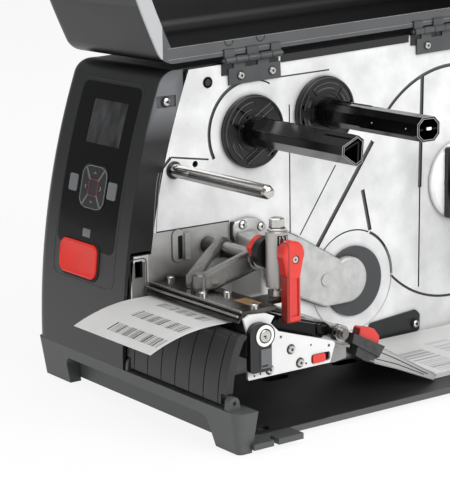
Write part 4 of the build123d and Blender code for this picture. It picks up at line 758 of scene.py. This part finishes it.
def screwMarks():
    bases = screws["plate"] + [(screws["bracketFace"], y, z) for y, z in screws["bracket"]]
    for y in [start + along for start in hinge["starts"] for along in screws["leafSpots"]]:
        bases.append((screws["leafFace"], y, hingeHeight(y) - screws["leafDrop"]))
    spots = [(x + screws["tall"], x, y, z) for x, y, z in bases]
    spots += [(screws["lobeTop"], 0.0, y, z) for y, z in screws["lobe"]]
    dark = bmesh.new()
    for top, base, y, z in spots:
        cylinder(dark, "x", (base - 0.3, y, z), (base + 0.12, y, z), screws["ring"], segments=28)
    for top, y, z in [(top, y, z) for top, base, y, z in spots] + screws["plateTops"]:
        cylinder(dark, "x", (top - 0.6, y, z), (top + 0.06, y, z), screws["recess"], segments=6)
    turned(dark, "x", screws["hole"], screws["holeSteps"], 28)
    piece("screwShadows", dark, "frame", "dark")
    heads = bmesh.new()
    rows = [(screws["lobeTop"], *screws["lobeHead"], y, z) for y, z in screws["lobe"]]
    rows += [(top, *screws["plateHead"], y, z) for top, y, z in screws["plateTops"]]
    for top, deep, wide, y, z in rows:
        turned(heads, "x", (y, z), ((top - deep, wide), (top - 0.4, wide), (top, wide - 0.6)), 32)
    piece("brightScrews", heads, "frame", "zinc")


screwMarks()


# ---- head mechanism
head = {"rods": ((22.3, 96.6), (25.6, 99.6)), "rodSteps": ((-1.8, 0.9), (117.3, 0.9)),
        "patch": ((85, 42, 99.4), (105, 54, 99.65))}


def tearRods():
    build = bmesh.new()
    for centre in head["rods"]:
        turned(build, "x", centre, head["rodSteps"], 16)
    piece("tearRods", build, "head", "steel")
    patch = bmesh.new()
    box(patch, *head["patch"])
    piece("headPatch", patch, "head", "copper")


tearRods()


def limb(build, sections, corner=0.35, points=20):
    # lofted arm: each section is (x, y, z, half width, half height) across the arm's run in plan
    rings = []
    for i, (x, y, z, wide, high) in enumerate(sections):
        before, after = sections[max(i - 1, 0)], sections[min(i + 1, len(sections) - 1)]
        along = Vector((after[0] - before[0], after[1] - before[1], 0)).normalized()
        side = Vector((along.y, -along.x, 0))
        ring = []
        for step in range(points):
            a = math.tau * (step + 0.5) / points
            c, d = math.cos(a), math.sin(a)
            cw, ch = math.copysign(abs(c) ** corner, c), math.copysign(abs(d) ** corner, d)
            ring.append(build.verts.new(place(x, y, z + high * ch) + side * (wide * cw / 1000)))
        rings.append(ring)
    for a, b in zip(rings, rings[1:]):
        for i in range(points):
            build.faces.new((a[i], a[(i + 1) % points], b[(i + 1) % points], b[i]))
    build.faces.new(rings[0])
    build.faces.new(rings[-1])


yoke = {"left": [(38, 40, 105.5, 7.0, 5.8), (32, 50, 109, 6.4, 7.4), (23.5, 66, 115.5, 5.2, 8.6),
                 (17, 80, 121, 3.8, 9.2)],
        "right": [(45, 40, 105.5, 6.2, 6.0), (49.5, 50, 108.5, 4.8, 8.4), (55, 66, 115, 4.0, 9.0),
                  (59.5, 80, 121, 4.0, 9.2)],
        "boss": (45, 41), "bossSteps": ((99.6, 6.9), (111.6, 6.7), (113.0, 5.4)),
        "pad": ((36, 37.5, 99.6), (45, 46, 106)), "padEdge": 1.2, "pivot": (82, 121.5),
        "hub": 9.4, "hubEdge": 0.8, "hubs": ((11.6, 18.4), (56.2, 63.8)),
        "grooves": (((18.4, 6.85), (19.6, 6.85)), ((22.0, 6.7), (22.6, 6.7)))}


def yokeCasting():
    # cast V: boss on the head plate, two arms back to the pivot hubs
    build = bmesh.new()
    limb(build, yoke["left"])
    limb(build, yoke["right"])
    turned(build, "z", yoke["boss"], yoke["bossSteps"], 40)
    box(build, *yoke["pad"], yoke["padEdge"])
    wide, edge = yoke["hub"], yoke["hubEdge"]
    for x0, x1 in yoke["hubs"]:
        steps = ((x0, wide - edge), (x0 + edge, wide), (x1 - edge, wide), (x1, wide - edge))
        turned(build, "x", yoke["pivot"], steps)
    piece("yokeCasting", build, "head", "gunmetal", ["head_yoke"], 40)
    ring = bmesh.new()
    for steps in yoke["grooves"]:
        turned(ring, "x", yoke["pivot"], steps, 40)
    piece("pivotGrooves", ring, "head", "black")


yokeCasting()

# the lobe and the painted shade on its end are outlines in (y, z), the arm's plan is in (x, y)
bracket = {"lobe": [(104.7, 127), (105.2, 134), (107, 136.6), (112, 137.9), (122, 138.8), (129, 137.2),
                    (134, 134.2), (138.6, 129.6), (139.1, 126), (134.2, 117.2), (108.5, 117.2)],
           "lobeX": (-4, 0), "lobeEdge": 1.2, "armEdge": 3.2, "armZ": (118.2, 128.0),
           "plan": [(-2, 109), (-2, 130), (60, 105), (96.8, 91), (96.8, 83), (88, 83), (84, 88.5),
                    (74, 90.5)],
           "end": [(104.3, 118), (104.3, 133), (105.0, 136.4), (106.4, 136.9), (105.9, 133), (105.9, 118)],
           "endX": (-4.0, -0.6)}


def bracketCasting():
    # lobe screwed to the plate and the arm it reaches out to the tower
    build = bmesh.new()
    made = prism(build, bracket["lobe"], *bracket["lobeX"])
    front = [e for e in edgesOf(made) if all(v.co.x > -0.001 for v in e.verts)]
    soften(build, front, bracket["lobeEdge"], 3)
    arm = bmesh.new()
    low, high = bracket["armZ"]
    base = arm.faces.new([arm.verts.new(place(x, y, low)) for x, y in bracket["plan"]])
    pushed = vertsOf(bmesh.ops.extrude_face_region(arm, geom=[base])["geom"])
    bmesh.ops.translate(arm, vec=(0, 0, (high - low) / 1000), verts=pushed)
    bmesh.ops.recalc_face_normals(arm, faces=arm.faces)
    top = [e for e in arm.edges if all(v.co.z > (high - 0.1) / 1000 for v in e.verts)]
    soften(arm, top, bracket["armEdge"], 4)
    joinInto(build, arm)
    piece("bracketCasting", build, "frame", "lobe", ["toggle_bracket"], 40)
    # painted shade: a dark piece on the lobe's front end
    shade = bmesh.new()
    prism(shade, bracket["end"], *bracket["endX"])
    piece("bracketEndShade", shade, "frame", "dark")


bracketCasting()

knob = {"centre": (95.0, 75.8), "flange": ((150.4, 7.1), (151.5, 7.1), (152.0, 6.4)),
        "nut": ((152.4, 5.9), (158.6, 5.9), (159.4, 5.0)), "turn": 17, "neck": ((151.9, 6.2), (152.5, 6.2)),
        "flat": 5.05, "strip": (0.15, 0.8), "stripZ": (153.2, 157.8)}


def knobNut():
    # flanged hex nut on the tower, with painted shade on its neck and a stripe of painted shade on each flat
    build, dark = bmesh.new(), bmesh.new()
    x, y = knob["centre"]
    turned(build, "z", (x, y), knob["flange"], 40)
    nut = turned(build, "z", (x, y), knob["nut"], 6)
    spun = Matrix.Rotation(math.radians(knob["turn"]), 3, "Z")
    bmesh.ops.rotate(build, cent=place(x, y, 0), matrix=spun, verts=nut)
    piece("knobNut", build, "knob", "zinc", ["pressure_knob"], 25)
    turned(dark, "z", (x, y), knob["neck"], 40)
    (thin, wide), (z0, z1) = knob["strip"], knob["stripZ"]
    for side in range(6):
        a = math.radians(knob["turn"] + 30 + 60 * side)
        fx, fy = x + knob["flat"] * math.cos(a), y + knob["flat"] * math.sin(a)
        box(dark, (fx - thin, fy - wide, z0), (fx + thin, fy + wide, z1), 0.0, Matrix.Rotation(a, 3, "Z"),
            (fx, fy, z0))
    piece("knobShade", dark, "knob", "dark")


knobNut()

tower = {"coils": ((72.6, 1.3), (75.4, 2.0), (78.4, 1.3)), "coilX": (101.5, 103.6), "coilZ": (140.6, 146.4),
         "coilEdge": 0.2, "screw": (75.8, 131.2), "head": ((115.5, 2.5), (117.6, 2.5)),
         "recess": ((117.0, 0.9), (117.7, 0.9))}


def towerParts():
    # spring that shows through the tower's window, and the lever's pivot screw with painted shade in its
    # socket
    build = bmesh.new()
    (x0, x1), (z0, z1) = tower["coilX"], tower["coilZ"]
    for y, width in tower["coils"]:
        box(build, (x0, y - width / 2, z0), (x1, y + width / 2, z1), tower["coilEdge"])
    piece("towerSpring", build, "frame", "steel")
    lever = bmesh.new()
    turned(lever, "x", tower["screw"], tower["head"], 28)
    piece("leverScrew", lever, "lever", "zinc")
    mark = bmesh.new()
    turned(mark, "x", tower["screw"], tower["recess"], 6)
    piece("leverSocketShade", mark, "lever", "dark")


towerParts()

latch = {"centre": (41.3, 80.7), "ring": ((124.6, 8.0), (125.3, 8.0), (125.6, 7.5)),
         "hub": ((125.0, 5.6), (125.65, 5.6)), "collar": (8.0, 9.1), "collarX": (124.6, 125.2),
         "lip": ((125.6, 37.8, 57.6), (126.1, 43.4, 59.2)), "lipEdge": 0.15,
         "shaft": ((125.2, 4.6), (125.8, 4.6), (126.0, 4.1)), "markX": (125.9, 126.05),
         "marks": (((-1.9, -0.5), (0.4, 0.5)), ((-0.5, -1.9), (0.5, 0.4)))}


def latchParts():
    # white ring, black hub and the platen shaft's end on the latch
    y, z = latch["centre"]
    build = bmesh.new()
    turned(build, "x", (y, z), latch["ring"])
    piece("latchRing", build, "frame", "disc")
    hub = bmesh.new()
    turned(hub, "x", (y, z), latch["hub"], 40)
    for half in (0, 180):
        band(hub, y, z, *latch["collar"], half, half + 180, *latch["collarX"])
    box(hub, *latch["lip"], latch["lipEdge"])
    piece("latchHub", hub, "frame", "black")
    end = bmesh.new()
    turned(end, "x", (y, z), latch["shaft"], 40)
    piece("latchShaftEnd", end, "frame", "zinc")
    mark = bmesh.new()
    x0, x1 = latch["markX"]
    for (y0, z0), (y1, z1) in latch["marks"]:
        box(mark, (x0, y + y0, z + z0), (x1, y + y1, z + z1))
    piece("latchShaftMark", mark, "frame", "dark")


latchParts()
print("mechanism done")


# ---- door flange, painted shade behind the hinge slots and the painted shadow line round the drive cover
flange = {"x": -1.15, "low": 7.0, "high": 15.6, "ends": (46, 470), "line": 0.3, "notches": (104, 135),
          "notch": 4.2, "notchLine": 0.4, "shades": ((1.5, 29), (29.5, 57.5)), "shadeX": (-4.2, -3.3),
          "shadeDrop": (12.5, 3.2)}


def flangeLines():
    x = flange["x"]
    lines = [([(x, y, hingeHeight(y) + flange[k]) for y in flange["ends"]], False) for k in ("low", "high")]
    wires("flangeEdges", lines, flange["line"], "door", "edge")
    arcs = []
    for y in flange["notches"]:
        spots = arc(y, hingeHeight(y) + flange["high"], flange["notch"], 180, 360, 9)
        arcs.append(([(x, *spot) for spot in spots], False))
    wires("flangeNotches", arcs, flange["notchLine"], "door", "black")
    # painted shade: dark boxes that show through the slots of the hinges' leaves
    slotShade = bmesh.new()
    (x0, x1), (low, high) = flange["shadeX"], flange["shadeDrop"]
    for start in hinge["starts"]:
        for a, b in flange["shades"]:
            z = hingeHeight(start + (a + b) / 2)
            box(slotShade, (x0, start + a, z - low), (x1, start + b, z - high))
    piece("hingeShade", slotShade, "frame", "black")


flangeLines()

cover = {"upper": [(140.4, 120.1), (149.4, 126.0), (170.9, 116.2), (212.4, 92.2)], "upperX": -3.8,
         "lower": [(141, 84.5), (144, 79), (171.5, 64.2), (196, 53.3), (203, 51)], "lowerX": -3.7,
         "gapLine": 0.7, "ring": (231.5, 69.0, 43.5, 142, 394, 42), "ringX": -3.9, "ringLine": 0.35}


def coverLine():
    # painted shadow: a dark line along the cover's upper and lower edges on the plate
    lines = [([(cover[k + "X"], *spot) for spot in cover[k]], False) for k in ("lower", "upper")]
    wires("coverShadowLine", lines, cover["gapLine"], "frame", "black")
    ring = [(cover["ringX"], *spot) for spot in arc(*cover["ring"])]
    wires("ringEdge", [(ring, False)], cover["ringLine"], "frame", "lobe")


coverLine()

# loops are (x, low corner, high corner, corner radius)
plate = {"loops": ((-3.9, (48.3, 111.4), (59.3, 137.4), 5.0), (-3.95, (8.8, 38.1), (24.0, 118.9), 3.0)),
         "loopLine": 0.4, "border": ((34.0, 137.8), (35.2, 152), (37.2, 170), (38.4, 178), (40.2, 184)),
         "borderX": -3.95, "borderStep": 2.6, "borderLine": 0.3}


def plateLines():
    # shaded outlines of the pressed slot and the front tab, and the line along the plate's front border
    loops = [([(x, *spot) for spot in roundedLoop(low, high, radius, 4)], True)
             for x, low, high, radius in plate["loops"]]
    wires("plateOutlines", loops, plate["loopLine"], "frame", "dark")
    borders = [([(plate["borderX"], y - back, z) for y, z in plate["border"]], False)
               for back in (0.0, plate["borderStep"])]
    wires("plateBorder", borders, plate["borderLine"], "frame", "edge")


plateLines()

holes = {"round": (120, 42), "radius": 5.2, "slots": (128, 200), "slotX": (17.2, 28.8), "slotHalf": 12.8,
         "depth": (4.2, 4.6)}


def holeShade():
    # painted shade for the depth under the base's round hole and two slots
    build = bmesh.new()
    (x0, x1), (z0, z1), half = holes["slotX"], holes["depth"], holes["slotHalf"]
    turned(build, "z", holes["round"], ((z0, holes["radius"]), (z1, holes["radius"])), 32)
    for y in holes["slots"]:
        box(build, (x0, y - half, z0), (x1, y + half, z1))
    piece("holeShade", build, "frame", "rubber")


holeShade()

# lines on the guide's arm are lists of (y, z), the tail is an outline in (y, z)
guide = {"armX": 110.6, "edgeLine": 0.4, "grooveLine": 0.3,
         "edges": ([(158.4, 51.2), (181.5, 38.2), (223.4, 13.8)],
                   [(147.5, 41.0), (181.6, 27.4), (219.5, 11.0)]),
         "grooves": ([(158, 46.5), (181.5, 34.6), (214, 16.5)],
                     [(150, 42.6), (181.5, 30.6), (210, 17.0)]),
         "dot": (163, 42.5), "dotSteps": ((110.3, 0.8), (110.9, 0.8)),
         "stack": (10.4, 11.5, 12.6), "stackX": 105.6, "stackEnds": (226.5, 377.5), "stackLine": 0.14,
         "tail": [(103.5, 76.2), (112, 76.0), (116.8, 72.4), (117.2, 66.2), (112, 64.4), (103.5, 66)],
         "tailX": (94.5, 107.5), "tailEdge": 1.8, "streakX": 106.2, "streakLine": 0.28,
         "streak": [(68.5, 85.6), (90, 79.4), (109, 73.9)]}


def guideDetails():
    # ribs of the guide's arm drawn as painted highlight lines and dark groove lines, the edge lines of the
    # folded stack, the tail of the bar over it, and a painted highlight along that bar
    for name, part, which in (("armEdges", "edge", "glint"), ("armGrooves", "groove", "rubber")):
        lines = [([(guide["armX"], *spot) for spot in line], False) for line in guide[part + "s"]]
        wires(name, lines, guide[part + "Line"], "guide", which)
    dot = bmesh.new()
    turned(dot, "x", guide["dot"], guide["dotSteps"], 20)
    piece("armDot", dot, "guide", "disc")
    layers = [([(guide["stackX"], y, z) for y in guide["stackEnds"]], False) for z in guide["stack"]]
    wires("stackLayers", layers, guide["stackLine"], "frame", "line")
    tail = bmesh.new()
    made = prism(tail, guide["tail"], *guide["tailX"])
    soften(tail, edgesOf(made), guide["tailEdge"], 3)
    piece("guideTail", tail, "frame", "spindle")
    streak = [(guide["streakX"], *spot) for spot in guide["streak"]]
    wires("guideTailGlint", [(streak, False)], guide["streakLine"], "frame", "steel")


guideDetails()
print("door flange, cover lines and guide details done")


# ---- floor, light and camera
studio = {"floorHalf": 6.0, "floorWhite": 0.88, "sky": (0.96, 0.98, 1.0, 1), "skyStrength": 0.4}
white = (1, 1, 1, 1)


def floor():
    mesh = bpy.data.meshes.new("floor")
    build = bmesh.new()
    bmesh.ops.create_grid(build, x_segments=1, y_segments=1, size=studio["floorHalf"])
    build.to_mesh(mesh)
    build.free()
    made = bpy.data.objects.new("floor", mesh)
    bpy.context.collection.objects.link(made)
    look = surface("paleFloor", "#f7f7f7", 0.8, mottle=0.0)
    mesh.materials.append(look)
    # seen by the camera, and in metal and gloss, the floor is near white and keeps a soft shadow
    tree = look.node_tree
    out = next(n for n in tree.nodes if n.type == "OUTPUT_MATERIAL")
    lit = out.inputs["Surface"].links[0].from_socket
    path = add(tree, "ShaderNodeLightPath")
    seen = add(tree, "ShaderNodeMath",
               [(0, path.outputs["Is Camera Ray"]), (1, path.outputs["Is Glossy Ray"])], operation="MAXIMUM")
    share = add(tree, "ShaderNodeMath", [(0, seen.outputs[0])], operation="MULTIPLY")
    share.inputs[1].default_value = studio["floorWhite"]
    glow = add(tree, "ShaderNodeEmission", Color=white, Strength=1.0)
    mix = add(tree, "ShaderNodeMixShader", [(0, share.outputs[0]), (1, lit), (2, glow.outputs[0])])
    tree.links.new(mix.outputs[0], out.inputs["Surface"])


def lamp(name, spot, power, size, target=(0, 0, 0.2)):
    data = bpy.data.lights.new(name, "AREA")
    data.energy = power
    data.size = size
    made = bpy.data.objects.new(name, data)
    made.location = spot
    made.rotation_euler = (Vector(target) - Vector(spot)).to_track_quat("-Z", "Y").to_euler()
    bpy.context.collection.objects.link(made)


def world():
    # soft light on the object, plain white behind it
    made = bpy.data.worlds.new("studio")
    bpy.context.scene.world = made
    made.use_nodes = True
    tree = made.node_tree
    tree.nodes.clear()
    soft = add(tree, "ShaderNodeBackground", Color=studio["sky"], Strength=studio["skyStrength"])
    plain = add(tree, "ShaderNodeBackground", Color=white, Strength=1.0)
    path = add(tree, "ShaderNodeLightPath")
    mix = add(tree, "ShaderNodeMixShader",
              [(0, path.outputs["Is Camera Ray"]), (1, soft.outputs[0]), (2, plain.outputs[0])])
    out = add(tree, "ShaderNodeOutputWorld")
    tree.links.new(mix.outputs[0], out.inputs["Surface"])


# spot in metres, angles in degrees
view = {"lens": 133.8, "sensor": 36, "clip": (0.05, 50), "spot": (1.1386, -0.941, 0.428), "turn": 54.25,
        "down": 12.34, "roll": -0.87}


def camera():
    data = bpy.data.cameras.new("viewCamera")
    data.lens = view["lens"]
    data.sensor_width = view["sensor"]
    data.clip_start, data.clip_end = view["clip"]
    made = bpy.data.objects.new("viewCamera", data)
    made.location = view["spot"]
    turn, down, roll = [math.radians(view[k]) for k in ("turn", "down", "roll")]
    look = Vector((-math.sin(turn) * math.cos(down), math.cos(turn) * math.cos(down), -math.sin(down)))
    aim = look.to_track_quat("-Z", "Y").to_matrix()
    made.rotation_euler = (aim @ Matrix.Rotation(roll, 3, "Z")).to_euler()
    bpy.context.collection.objects.link(made)
    bpy.context.scene.camera = made


floor()
world()
camera()
lamp("sideSoftbox", (2.4, 0.4, 1.4), 66, 1.8)  # place in metres, watts, side in metres
lamp("frontSoftbox", (0.2, -2.6, 0.9), 14, 1.4)
lamp("topSoftbox", (0.2, -0.3, 3.0), 30, 2.4)
bpy.context.scene.view_settings.view_transform = "Standard"
print("stage ready")
